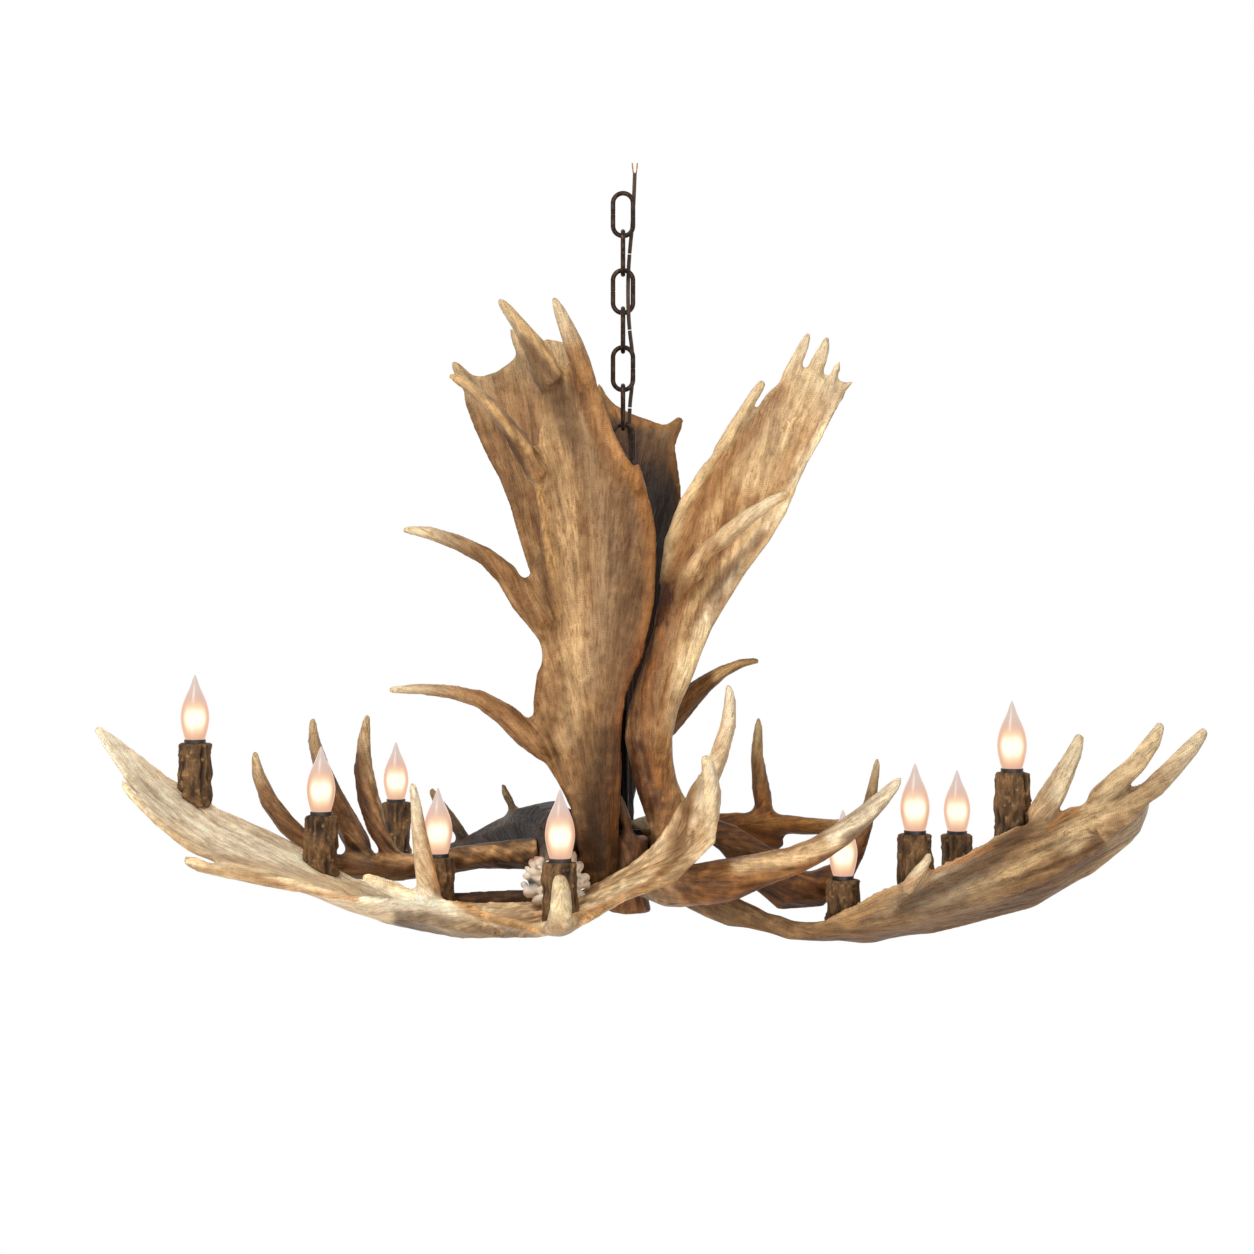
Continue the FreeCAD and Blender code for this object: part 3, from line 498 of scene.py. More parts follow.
class Paint(Nodes):
    """A node material with its principled shader."""

    def __init__(self, name):
        self.material = bpy.data.materials.new(name)
        self.material.use_nodes = True
        super().__init__(self.material.node_tree)
        self.output = self.add("ShaderNodeOutputMaterial")
        self.shader = self.add("ShaderNodeBsdfPrincipled")
        self.put(self.output.inputs["Surface"], self.shader.outputs[0])

    def place(self):
        return self.add("ShaderNodeTexCoord").outputs["Object"]

    def attribute(self, name, output):
        return self.add("ShaderNodeAttribute", attribute_name=name).outputs[output]

    def bump(self, height, distance):
        node = self.add("ShaderNodeBump", [("Height", height), ("Distance", distance)])
        self.put(self.shader.inputs["Normal"], node.outputs[0])

    def set(self, **inputs):
        """Links or sets the principled shader's sockets."""
        for key, value in inputs.items():
            self.put(self.shader.inputs[key.replace("_", " ")], value)


def antler_paint():
    """Antler: its tint per point, with fibres, mottling and clustered flecks along the grain."""
    p = Paint("antler_horn")
    place = p.place()
    grain = p.attribute("grain", "Vector")

    def drawn(scale, step):
        values = [p.noise(p.shifted(place, grain, step * k), scale, 0.0) for k in range(-2, 3)]
        total = values[0]
        for value in values[1:]:
            total = p.math("ADD", total, value)
        return p.math("DIVIDE", total, len(values))

    fibres = drawn(600.0, 0.0023)
    flecks = drawn(350.0, 0.0016)
    clusters = p.ramp(p.noise(place, 30.0, 3.0), 0.47, 0.66)
    mottle = p.noise(place, 95.0, 4.0, 0.62)
    tint = p.attribute("tint", "Color")
    dark = p.mix(1.0, tint, np.array([0.56, 0.43, 0.31]), "MULTIPLY")
    light = p.mix(1.0, tint, np.array([1.22, 1.20, 1.14]), "MULTIPLY")
    body = p.mix(p.times(p.ramp(mottle, 0.47, 0.66), 0.75), tint, light)
    body = p.mix(p.times(p.ramp(mottle, 0.50, 0.32), 0.40), body, dark)
    body = p.mix(p.times(p.ramp(fibres, 0.505, 0.415), 0.58), body, dark)
    sparse = p.math("ADD", 0.16, p.times(clusters, 0.66))
    body = p.mix(p.times(p.ramp(flecks, 0.455, 0.375), sparse), body, dark)
    p.set(Base_Color=body, Roughness=p.ramp(fibres, 0.4, 0.6, 0.52, 0.36), IOR=1.5,
          Specular_IOR_Level=0.2)
    p.bump(p.math("ADD", fibres, p.times(flecks, 0.6)), 0.0017)
    return p.material


def cream_paint():
    """Bare cream bone: its tint per point."""
    p = Paint("burr_cream")
    p.set(Base_Color=p.attribute("tint", "Color"), Roughness=0.5, Specular_IOR_Level=0.4)
    return p.material


def bark_paint():
    """Dark bark with lighter ridges."""
    p = Paint("bark")
    tint = p.attribute("tint", "Color")
    tall = p.add("ShaderNodeMapping", [("Vector", p.place()), ("Scale", (1.0, 1.0, 0.28))])
    fine = p.noise(tall.outputs[0], 900.0, 3.0, 0.6)
    hollow = p.mix(1.0, tint, np.array([0.5, 0.45, 0.4]), "MULTIPLY")
    p.set(Base_Color=p.mix(p.ramp(fine, 0.35, 0.7), hollow, tint), Roughness=0.72,
          Specular_IOR_Level=0.3)
    p.bump(fine, 0.0008)
    return p.material


def metal_paint(name, deep, bright, rough=0.42):
    """Worn metal: deep colour with brighter rubbed patches."""
    p = Paint(name)
    place = p.place()
    worn = p.ramp(p.noise(place, 260.0, 3.0, 0.6), 0.42, 0.66)
    p.set(Base_Color=p.mix(worn, tone(deep), tone(bright)), Metallic=0.85,
          Roughness=p.ramp(p.noise(place, 520.0), 0.3, 0.7, rough - 0.1, rough + 0.14))
    p.bump(p.noise(place, 780.0), 0.0002)
    return p.material


def plastic_paint():
    """Moulded plastic with a fine grain."""
    p = Paint("holder_plastic")
    grain = p.noise(p.place(), 700.0)
    black = tone("1d1713")
    p.set(Base_Color=p.mix(grain, black * 0.8, black * 1.2), Roughness=0.45)
    p.bump(grain, 0.00015)
    return p.material


def cord_paint():
    """Woven brown cord: two sets of threads that cross around it."""
    p = Paint("cord_weave")
    turn = p.times(p.attribute("around", "Fac"), 5.0)
    climb = p.times(p.attribute("along", "Fac"), 2600.0)
    weave = p.math("MAXIMUM", p.math("SINE", p.math("ADD", turn, climb)),
                   p.math("SINE", p.math("SUBTRACT", turn, climb)))
    p.set(Base_Color=p.mix(p.ramp(weave, 0.1, 1.0), tone("24160e"), tone("5a3d2a")),
          Roughness=0.75, Sheen_Weight=0.25)
    p.bump(weave, 0.0003)
    return p.material


def glass_paint():
    """Frosted flame bulb, lit from inside: bright low down, rosier at its edges and its tip."""
    p = Paint("bulb_frost")
    height = p.attribute("height", "Fac")
    facing = p.add("ShaderNodeLayerWeight", [("Blend", 0.5)]).outputs["Facing"]
    middle = p.times(p.ramp(height, 0.0, 0.36), p.ramp(height, 0.72, 0.36))
    core = p.times(middle, p.ramp(facing, 0.62, 0.10))
    colour = p.mix(p.ramp(core, 0.0, 0.70), tone("f1bc9f"), tone("ffdcae"))
    colour = p.mix(p.ramp(core, 0.40, 0.95), colour, tone("fff8e2"))
    colour = p.mix(p.ramp(height, 0.48, 0.86), colour, tone("e6d3ca"))
    strength = p.math("ADD", 0.80, p.times(core, 0.34))
    p.set(Base_Color=tone("4c3a30"), Roughness=0.3, Specular_IOR_Level=0.4,
          Emission_Color=colour, Emission_Strength=strength)
    return p.material


# ---- antlers
ANTLER = antler_paint()

# node: root of the grain; its dark, middle, light, tip and rim tones; how dark the root is and how
# far that reaches in metres, partly the antler's own darker base and partly painted shade round
# the hub;
# share and length in metres of its streaks; how deep its grooves are; how far the pale points
# reach in metres
ANTLERS = {
    "upright_front_left": (
        (600, 880, -30), "563719 98734c c39b6e f2dfbb 8a5a30", 1.5, 0.105, 0.5, 0.034, 0.8, 0.055),
    "upright_rear_left": (
        (590, 860, 30), "583a20 96704a bd9668 e0c69c 7d5a38", 0.9, 0.16, 0.55, 0.034, 0.7, 0.05),
    # Painted shade: its near-black tones are partly its own dark brown and partly the shadow
    # behind the front antlers.
    "upright_rear": (
        (632, 860, 60), "1a100a 3b281b 5d432e c79f6f 86592f", 0.9, 0.36, 0.6, 0.05, 0.8, 0.04),
    "upright_right": (
        (655, 872, -24), "7a4c26 bf9464 e4c596 f6e6c6 ecd2a8", 0.4, 0.1, 0.48, 0.04, 0.8, 0.06),
    "lower_front_left": (
        (560, 905, -80), "946c44 dfc096 fce9c8 f4e8ce c39660", 0.3, 0.1, 0.46, 0.038, 0.7, 0.06),
    "lower_front_right": (
        (640, 880, -40), "542f14 865629 ae7e4b f4e4c6 a8743f", 0.7, 0.12, 0.75, 0.06, 1, 0.07),
    # Painted shade: its near-black tones are partly its own dark brown and partly the shadow at
    # the back of the hub.
    "rear_left": (
        (600, 860, 60), "140c07 2c1b10 4c3320 cdb08a 5d4129", 0.8, 0.2, 0.7, 0.06, 1, 0.04),
    "left_forked": (
        (560, 860, 10), "332012 6c4c31 a37c55 dcc29a 8a6542", 0.8, 0.1, 0.8, 0.06, 1.1, 0.042),
    "lower_right": (
        (650, 868, 0), "573a20 8f6b46 bd9768 f2e2c2 caa679", 0.9, 0.16, 0.55, 0.04, 0.8, 0.075),
    "front_low_beam": (
        (590, 880, 0), "20130b 452f1e 6c4e35 a58a6a 523824", 0.5, 0.1, 0.8, 0.06, 1, 0.04),
    "lower_right_back": (
        (650, 860, 20), "2c1a0c 5f3b1e 8d6336 dcc49c 7d4f28", 0.7, 0.15, 0.75, 0.05, 1.2, 0.055),
    "rear_right": (
        (640, 840, 30), "3d220e 7a4e27 a8783f e3cc9f 8f6230", 0.8, 0.12, 0.75, 0.06, 0.9, 0.045),
    "rear_low_palm": (
        (627, 860, 40), "2a1b10 5b412a 836547 c2a680 6d4f33", 0.5, 0.2, 0.6, 0.04, 0.8, 0.05),
    "hub_base": (
        (627, 870, 0), "2a1a10 6e4c34 a47650 8d6c4e 6d4a30", 0.2, 0.1, 0.4, 0.03, 1.2, 0.02),
}

# node: strokes on its front face, each with its tone, strength, half width in picture points,
# height in millimetres and the columns and rows of its line; a stroke without a tone swells the
# antler all round. Many of the toned strokes are painted light: painted highlights on rims and
# ridges, and painted shade in bands beside them, at the roots and in the gaps; the rest are the
# antler's own marks
STROKES = {
    "upright_front_left": [
        # Painted light here: a highlight down the middle and on the raised rims and tines, shaded
        # bands beside them, and dark painted shade towards the hub at the bottom.
        ("8c745a", 0.55, 16, 0, 548, 372, 580, 440, 606, 520, 606, 600, 590, 680),
        ("d6b587", 0.5, 12, 0.4, 548, 425, 563, 500, 572, 570, 572, 650, 574, 700, 566, 740),
        ("7a5c42", 0.75, 9, -0.4, 512, 448, 526, 482, 536, 515, 541, 556, 552, 600),
        ("caa069", 0.6, 5, 0.5, 534, 478, 546, 520, 551, 560, 560, 610),
        ("8d7056", 0.6, 12, 0, 470, 400, 492, 438, 512, 478, 524, 524),
        ("bd9162", 0.6, 4, 0.3, 455, 380, 475, 426, 506, 490, 516, 532, 527, 566),
        ("cfa672", 0.8, 5, 2.2, 450, 372, 485, 399, 510, 429, 530, 450),
        ("644327", 0.8, 5, -0.4, 494, 396, 516, 417, 530, 438),
        ("5a3d26", 0.75, 4, -0.4, 463, 393, 480, 410, 501, 434, 517, 455, 526, 480),
        ("735a40", 0.6, 11, -0.4, 529, 350, 546, 385, 562, 410, 574, 440),
        ("ddb77f", 0.75, 5, 0.8, 503, 305, 523, 327, 546, 350, 568, 375),
        ("6d4e30", 0.75, 4, -0.4, 521, 338, 541, 361, 559, 381),
        ("83603c", 0.6, 8, 0, 546, 341, 566, 352, 580, 380),
        ("b58350", 0.6, 6, 1.6, 578, 348, 590, 378, 600, 410, 612, 442, 624, 464),
        ("7a4a22", 0.55, 5, -0.4, 572, 372, 588, 410, 602, 446, 618, 482),
        ("93602f", 0.75, 7, 1.8, 628, 466, 640, 486, 647, 520, 649, 560, 646, 610, 636, 660),
        ("8a5527", 0.9, 10, 1.6, 638, 650, 628, 690, 620, 730, 614, 780, 606, 830),
        ("6a4c34", 0.65, 12, -0.4, 622, 490, 632, 530, 634, 590, 624, 650, 610, 710),
        ("38230f", 0.92, 17, 0, 610, 740, 604, 780, 598, 820, 592, 860),
        ("4a301d", 0.75, 10, 0, 560, 800, 570, 830, 580, 860),
    ],
    "upright_right": [
        # Painted light here: the pale left rim and the bright right edge are painted highlights;
        # the dark brown down the lower beam's left side is partly its own tone and partly painted
        # shade.
        ("dcc094", 0.8, 5, 2.2, 766, 377, 738, 421, 713, 457, 686, 502, 669, 541, 662, 580),
        ("99693c", 0.65, 8, -0.4, 780, 392, 746, 436, 712, 482, 688, 532, 676, 578),
        ("ecd3a6", 0.5, 14, 0, 815, 372, 785, 430, 752, 480),
        ("f6e4c2", 0.75, 8, 0.8, 838, 410, 808, 458, 785, 502, 747, 546, 718, 592, 696, 636),
        ("f2d8ac", 0.8, 9, 0.4, 700, 632, 682, 672, 675, 704, 673, 730),
        ("8a5a2e", 0.6, 12, 0, 668, 700, 662, 750, 668, 800, 664, 840),
        ("46230c", 0.98, 22, 0, 668, 596, 648, 644, 635, 690, 632, 726, 638, 764, 650, 800),
        ("381c0b", 0.9, 10, -0.4, 646, 630, 626, 678, 618, 716, 622, 756, 636, 800, 646, 840),
        ("a56c38", 0.5, 5, 0.6, 664, 630, 652, 668, 646, 706, 649, 744, 660, 784),
        ("dfbd8c", 0.75, 5, 0.6, 791, 491, 747, 535, 712, 575, 690, 612),
        ("7c5028", 0.7, 5, -0.4, 764, 534, 728, 570, 704, 602, 688, 636),
        ("9a6d40", 0.6, 7, 0, 716, 548, 690, 584, 676, 618),
    ],
    "upright_rear": [
        ("a8794a", 0.85, 5, 1.2, 612, 410, 640, 423, 668, 424, 682, 416),
        ("8f653d", 0.7, 5, 1, 678, 428, 672, 460, 684, 490),
        ("6e4e33", 0.5, 14, 0, 630, 440, 650, 450),
        # Painted shade: the near-black stroke is the shadow in the gap behind the front antlers.
        ("140c07", 0.8, 18, 0, 645, 490, 660, 540, 655, 600),
        ("7d5730", 0.9, 14, 0, 678, 730, 690, 702, 712, 680),
        ("d3ae7c", 0.9, 12, 0, 724, 672, 762, 658),
    ],
    "lower_front_left": [
        # Painted light here: the broad cream strokes at the top brighten the palm where it turns
        # away from the lamps, over its own cream.
        ("fbf0d8", 0.85, 20, 0, 110, 745, 150, 790, 200, 822, 260, 846, 320, 866),
        ("fff0d4", 0.95, 17, 0, 270, 862, 290, 870, 340, 880, 400, 898, 440, 912),
        ("ecd0a0", 0.8, 6, 1.2, 185, 858, 215, 868, 250, 868, 285, 878, 320, 884, 358, 890),
        ("b07c46", 0.6, 3, 0, 190, 868, 250, 876, 300, 890, 356, 899),
        ("b98d5c", 0.55, 3, -0.4, 210, 857, 252, 861, 290, 872, 326, 878),
        ("ecd2a4", 0.7, 5, 0.8, 124, 780, 140, 808, 166, 838, 198, 857),
        ("e8cfa2", 0.7, 6, 0.8, 362, 876, 384, 884, 406, 888),
        ("b4793f", 0.8, 4, 0, 424, 816, 432, 852, 438, 884),
        ("a0733f", 0.7, 4, 0.8, 436, 890, 458, 903, 484, 917, 510, 924, 534, 930),
        ("7d6244", 0.85, 8, 0, 400, 918, 430, 920, 480, 932, 530, 940),
        ("5e4730", 0.85, 7, 0, 400, 926, 450, 940, 510, 950, 556, 950),
        (None, 0, 12, 4, 561, 878, 563, 925),
        ("decaa4", 0.9, 11, 0, 561, 872, 563, 915),
        ("b39468", 0.7, 9, 0, 561, 926, 554, 942),
        ("9c6e3c", 0.65, 4, 0.8, 578, 916, 612, 904, 650, 884, 676, 862),
        ("e6caa0", 0.6, 4, 0.4, 681, 840, 688, 812, 695, 786),
        ("dcc6a0", 0.75, 6, 0, 709, 862, 712, 830, 710, 795, 706, 764),
        ("8a6a48", 0.75, 9, 0, 640, 905, 672, 888, 690, 866),
        ("8f6c49", 0.75, 9, -0.3, 676, 850, 684, 820, 690, 790, 694, 770),
        ("80603f", 0.65, 7, -0.4, 664, 872, 678, 846, 686, 810),
    ],
    "lower_right": [
        # Painted light here: the darker lower edge is painted shade, and the pale bands and the
        # orange at the root notch are painted highlights, over the palm's own streaks.
        (None, 0, 17, 1.8, 1040, 824, 1080, 804, 1112, 782),
        (None, 0, 12, 2.2, 1013, 866, 1013, 890),
        ("5e4229", 0.85, 10, -0.4, 906, 906, 934, 890, 981, 866, 1021, 832),
        ("d6b78a", 0.6, 8, 0.8, 977, 893, 1028, 859, 1096, 815, 1129, 798),
        ("e0c498", 0.85, 12, 0.6, 1070, 842, 1096, 812, 1130, 770, 1160, 745),
        ("62442a", 0.65, 8, 0, 812, 943, 893, 940, 994, 913, 1062, 879, 1100, 850),
        ("8b6844", 0.5, 9, 0, 900, 926, 960, 908, 1020, 884),
        ("b98d5c", 0.6, 8, 0.4, 850, 920, 890, 893, 926, 878),
        ("b97c44", 0.75, 5, 0, 930, 870, 960, 860, 990, 846),
        ("c08a50", 0.75, 5, 0, 1050, 826, 1060, 815, 1074, 812),
        ("ecdab8", 0.65, 9, 0, 1082, 732, 1072, 765, 1058, 795),
    ],
    "lower_front_right": [
        ("dcbf94", 0.75, 9, 0, 740, 864, 780, 860, 820, 846, 840, 836),
        ("f2e4c8", 0.8, 8, 0, 832, 838, 870, 808, 900, 780),
        ("6e431f", 0.75, 9, 0, 690, 895, 730, 904, 772, 888),
        ("5f3818", 0.6, 5, -0.4, 760, 896, 810, 876, 850, 850),
    ],
    "left_forked": [
        ("5f4029", 0.85, 6, -0.4, 356, 756, 360, 790, 372, 830, 380, 850),
        ("d8bb8e", 0.6, 4, 0.4, 368, 730, 374, 776, 388, 820),
        ("6a482d", 0.7, 5, -0.4, 262, 790, 276, 818, 296, 836),
        ("5d3d25", 0.65, 4, -0.4, 342, 866, 400, 872, 470, 862, 540, 846),
        ("c9a071", 0.75, 4, 0.6, 345, 856, 420, 858, 500, 846),
        ("b08a60", 0.7, 5, 0.4, 470, 858, 505, 850, 536, 844),
        ("4f3320", 0.85, 7, 0, 352, 760, 358, 786, 366, 812),
        ("6b482c", 0.6, 4, -0.4, 372, 750, 384, 800, 398, 846),
    ],
    "rear_right": [
        ("5a341a", 0.8, 12, 0, 740, 835, 790, 845, 830, 850),
    ],
}

# node: places that are evened out, as column, row, radius and how many times over
MELTS = {
    "upright_right": [(680, 600, 20, 1), (652, 690, 30, 2), (672, 776, 24, 2), (716, 560, 14, 1)],
    "upright_front_left": [(533, 455, 12, 1), (546, 650, 18, 2), (606, 690, 14, 1)],
    "lower_right": [
        (1158, 818, 16, 2), (1067, 899, 24, 3), (905, 952, 22, 3), (832, 950, 20, 3),
        (797, 946, 24, 3), (757, 942, 24, 3)],
    "lower_front_left": [(700, 868, 20, 2), (560, 950, 18, 2), (630, 920, 22, 2)],
    "left_forked": [(400, 830, 22, 2)],
    "lower_front_right": [(700, 890, 26, 2)],
}

# counts of rounds are meant for a skin with this step, and grow as it gets finer
ROUNDS_STEP = 0.0024
# reach of the filling of creases, of the rounding of tips and of the grain's fading at tips
CREASE_REACH = 0.012
TIP_REACH = 0.006
GRAIN_REACH = 0.02


def antler(node, root, tones, root_dark_and_shade, root_dark_reach, streaks, dash, groove, pale_reach):
    """One antler: the CAD node's shape, rounded, grooved along its grain and tinted, with painted
    highlights and painted shade.
    """
    obj = remeshed(node + "_horn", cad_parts[node].data.copy(), ANTLER_VOXEL)
    net = Net(obj)
    fine = ROUNDS_STEP / ANTLER_VOXEL
    net.fair(int(34 * fine * fine) + 6)
    net.ease(CREASE_REACH)
    for u, v, radius, times in MELTS.get(node, []):
        share = np.exp(-(np.linalg.norm(seen(net.points) - (u, v), axis=1) / radius) ** 4)
        net.melt(share, int(90 * times * fine * fine))
    source = int(np.argmin(np.linalg.norm(net.points - spot(*root), axis=1)))
    reach = net.relax(net.distance([source]), int(12 * fine))
    tips = net.peaks(reach, int(9 * fine))
    out = net.normals()
    bulge = np.sum((net.points - net.relax(net.points, int(44 * fine * fine))) * out, axis=1)
    bulge = net.relax(bulge, 6)
    grain = net.grain(reach)
    from_tip = net.distance(tips.tolist())
    net.melt(np.exp(-(from_tip / TIP_REACH) ** 2), int(14 * fine * fine))
    broad = streak(net.points, grain, 0.011, 0.10, 13, 3)
    medium = streak(net.points, grain, 0.0046, dash, 15, 5)
    thin = streak(net.points, grain, 0.0031, 0.026, 13, 6)
    patches = noise(net.points, 0.055, 7) + 0.5 * noise(net.points, 0.024, 8)
    pearls = np.maximum(0.0, noise(net.points, 0.0075, 9)) * np.exp(-reach / 0.10)
    lump = noise(net.points, 0.05, 11) * 0.0012 + noise(net.points, 0.018, 12) * 0.0005
    ends = (1.0 - np.exp(-from_tip / 0.045)) / (1.0 + np.maximum(bulge, 0.0) / 0.0011)
    furrows = (0.0011 * np.maximum(0.0, -broad) + 0.0010 * np.maximum(0.0, -medium)
               + 0.0005 * np.maximum(0.0, -thin))
    lift = -groove * furrows * ends
    places = seen(net.points)
    places[:, 0] += 2.5 * noise(net.points, 0.016, 21)
    # The strokes' painted highlights and painted shade fall only on the faces turned to the
    # camera.
    front = unit(0.60 - 1.8 * out[:, 1])
    strokes = []
    for colour, strength, width, height, *line in STROKES.get(node, []):
        fall = brushed(places, line, width)
        if colour is None:
            lift += fall * height * 0.001
            continue
        lift += fall * front * height * 0.001
        feathered = unit(fall * (1.0 + 0.35 * medium + 0.25 * broad))
        strokes.append((tone(colour), (strength * front * feathered)[:, None]))
    net.points = net.points + out * (lift + lump * ends + pearls * 0.0016)[:, None]
    share = 0.52 + streaks * (0.32 * broad + 0.42 * medium + 0.34 * thin) + 0.20 * patches
    share = unit(share)[:, None]
    dark, middle, light, tip, rim = [tone(code) for code in tones.split()]
    tint = np.where(share < 0.5, toward(dark, middle, share * 2.0),
                    toward(middle, light, share * 2.0 - 1.0))
    edge = unit(bulge / 0.003 - 0.25)[:, None]
    tint = toward(tint, rim * (0.7 + 0.6 * share), edge * 0.75)
    pale = np.exp(-(from_tip / pale_reach) ** 2)[:, None] * (0.75 + 0.25 * share)
    tint = toward(tint, tip * (0.82 + 0.18 * share), pale)
    # Painted shade: darker towards the root, partly the antler's own darker base and partly the
    # deep shadow round the hub.
    deep = root_dark_and_shade * np.exp(-(reach / root_dark_reach) ** 2) * (0.85 + 0.4 * patches)
    tint = toward(tint, dark * 0.5, np.clip(deep, 0.0, 0.95)[:, None])
    # Strokes of painted highlight and painted shade, with some of the antler's own marks.
    for colour, weight in strokes:
        tint = toward(tint, colour * (0.62 + 0.76 * share), weight)
    tint = tint * (1.0 + 0.9 * unit(pearls * 2.5))[:, None]
    # Painted shade: the hollows of the skin are darkened, warmer than the rest.
    hollow = unit(-bulge / 0.0022)[:, None]
    tint = tint * (1.0 - 0.6 * hollow * np.array([0.8, 1.0, 1.15]))
    net.write()
    store(obj.data, "tint", tint)
    store(obj.data, "grain", grain * unit(from_tip / GRAIN_REACH)[:, None])
    obj.data.materials.append(ANTLER)
    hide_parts(node)
    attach(obj, "fixture")
    return obj


for node, facts in ANTLERS.items():
    made = antler(node, *facts)


# ---- burr
def bead(centre, radius, squash, turn):
    """A small round bead, flattened and turned in the burr's plane."""
    rings = []
    for j in range(7):
        lift = -math.pi * 0.5 + math.pi * (j + 0.02) / 6.04
        ring = []
        for angle in turns(10):
            x = math.cos(lift) * math.cos(angle) * squash[0]
            z = math.cos(lift) * math.sin(angle) * squash[1]
            across = x * math.cos(turn) - z * math.sin(turn)
            rise = x * math.sin(turn) + z * math.cos(turn)
            ring.append(centre + radius * np.array([across, math.sin(lift) * squash[2], rise]))
        rings.append(ring)
    return loft(rings)


def burr():
    """The front antler's burr: a ring of knobbly beads round a rough face, with a hollow in it
    shown by painted shade.
    """
    low, high = [np.array(c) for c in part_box("burr_rosette")]
    middle = (low + high) * 0.5
    wide = (high[0] - low[0]) * 0.5
    tall = (high[2] - low[2]) * 0.5
    chance = np.random.RandomState(12)
    parts = []

    def around(angle, out, depth):
        return middle + (wide * out * math.cos(angle), depth, tall * out * math.sin(angle))

    for k in range(24):
        angle = 2.0 * math.pi * (k + chance.uniform(-0.9, 0.9)) / 24
        size = chance.choice([0.0034, 0.0050, 0.0066, 0.0082]) * chance.uniform(0.9, 1.1)
        out = 0.97 - size * 26.0 + chance.uniform(-0.10, 0.05)
        centre = around(angle, out, chance.uniform(-0.004, 0.003))
        squash = (chance.uniform(1.0, 1.4), chance.uniform(0.7, 1.0), 0.9)
        parts.append(bead(centre, size, squash, angle))
    for k in range(15):
        angle = 2.0 * math.pi * (k + chance.uniform(-0.3, 0.3)) / 15
        centre = around(angle, chance.uniform(0.42, 0.62), -0.004)
        parts.append(bead(centre, chance.uniform(0.0036, 0.0060), (1.3, 0.8, 0.9), angle))
    face = (wide * 0.76, tall * 0.76, 0.0065)
    parts.append(bead(middle + np.array([0.0, 0.003, 0.0]), 1.0, face, 0.0))
    obj = remeshed("burr_beads", new_mesh("burr_beads", *join(parts)), BURR_VOXEL)
    net = Net(obj)
    net.fair(6)
    out = net.normals()
    rough = noise(net.points, 0.0065, 3) * 0.0013 + noise(net.points, 0.003, 4) * 0.0005
    net.points = net.points + out * rough[:, None]
    flat = (net.points - middle) / np.array([wide, 1.0, tall])
    proud = unit((np.hypot(flat[:, 0], flat[:, 2]) - 0.74) / 0.24)[:, None]
    patches = unit(0.5 + 0.7 * noise(net.points, 0.008, 6))[:, None]
    tint = toward(tone("e6d6c2"), tone("fff6ea"), patches)
    tint = toward(tint, tone("96552c"), proud ** 2 * (0.35 + 0.6 * patches))
    # Painted shade: a dark spot stands for a hollow in the face, which the mesh does not have.
    hole_shade_centre = spot(531, 882, -72)
    hollow = np.hypot(net.points[:, 0] - hole_shade_centre[0], net.points[:, 2] - hole_shade_centre[2])
    tint = tint * (1.0 - 0.85 * np.exp(-(hollow / 0.006) ** 2))[:, None]
    # Painted shade in the creases between the beads.
    cave = np.sum((net.points - net.relax(net.points, 14)) * out, axis=1)
    tint = tint * (1.0 - 0.4 * unit(-cave / 0.0009))[:, None]
    net.write()
    store(obj.data, "tint", tint)
    obj.data.materials.append(cream_paint())
    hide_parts("burr_rosette")
    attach(obj, "fixture")


burr()


# ---- lights
BARK = bark_paint()
HOLDER = plastic_paint()
FROST = glass_paint()
BRASS = metal_paint("base_brass", "8a6a34", "c9a45c", 0.3)
GLASS = [(-0.0082, 0.0058), (0.001, 0.0097), (0.012, 0.0132), (0.027, 0.0157), (0.040, 0.0142),
         (0.051, 0.0106), (0.062, 0.0056), (0.070, 0.0028), (0.0755, 0.0006)]


def cup_centre(light):
    """Centre of a cup's top, from its bulb's base."""
    low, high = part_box("bulb_base_" + light)
    return np.array([(low[0] + high[0]) * 0.5, (low[1] + high[1]) * 0.5, high[2] + 0.0082])


def bark_cup(light, seed):
    """A cup of bark: upright ridges, a ragged foot and a mouth round the holder."""
    node = "cup_" + light
    centre = cup_centre(light)
    obj = remeshed(node + "_bark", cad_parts[node].data.copy(), BARK_VOXEL)
    net = Net(obj)
    net.fair(16)
    out = net.normals()
    shift = np.array([0.37 * seed, 0.71 * seed, 0.0])
    tall = (net.points + shift) * np.array([1.0, 1.0, 0.30])
    ridges = 1.0 - 2.0 * np.abs(noise(tall, 0.0052, seed)) + 0.5 * noise(tall, 0.0024, seed + 20)
    knots = noise(net.points + shift, 0.011, seed + 40)
    beside = unit(1.0 - np.abs(out[:, 2]) * 1.3)
    inner = np.hypot(net.points[:, 0] - centre[0], net.points[:, 1] - centre[1]) < 0.0135
    lift = beside * (0.0010 + ridges * 0.0018 + knots * 0.0018) + (1.0 - beside) * knots * 0.0006
    beads = unit(noise(net.points + shift, 0.0042, seed + 60) * 2.4 - 0.9) * beside
    lift += beads * 0.0011
    lift[inner] = 0.0
    net.points = net.points + out * lift[:, None]
    share = unit(0.42 + 0.40 * ridges + 0.25 * knots)[:, None]
    tint = toward(tone("26190f"), tone("9a7650"), share ** 1.3)
    tint = toward(tint, tone("c09a6c"), (0.75 * beads)[:, None])
    net.write()
    store(obj.data, "tint", tint)
    obj.data.materials.append(BARK)
    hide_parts(node)
    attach(obj, "fixture")


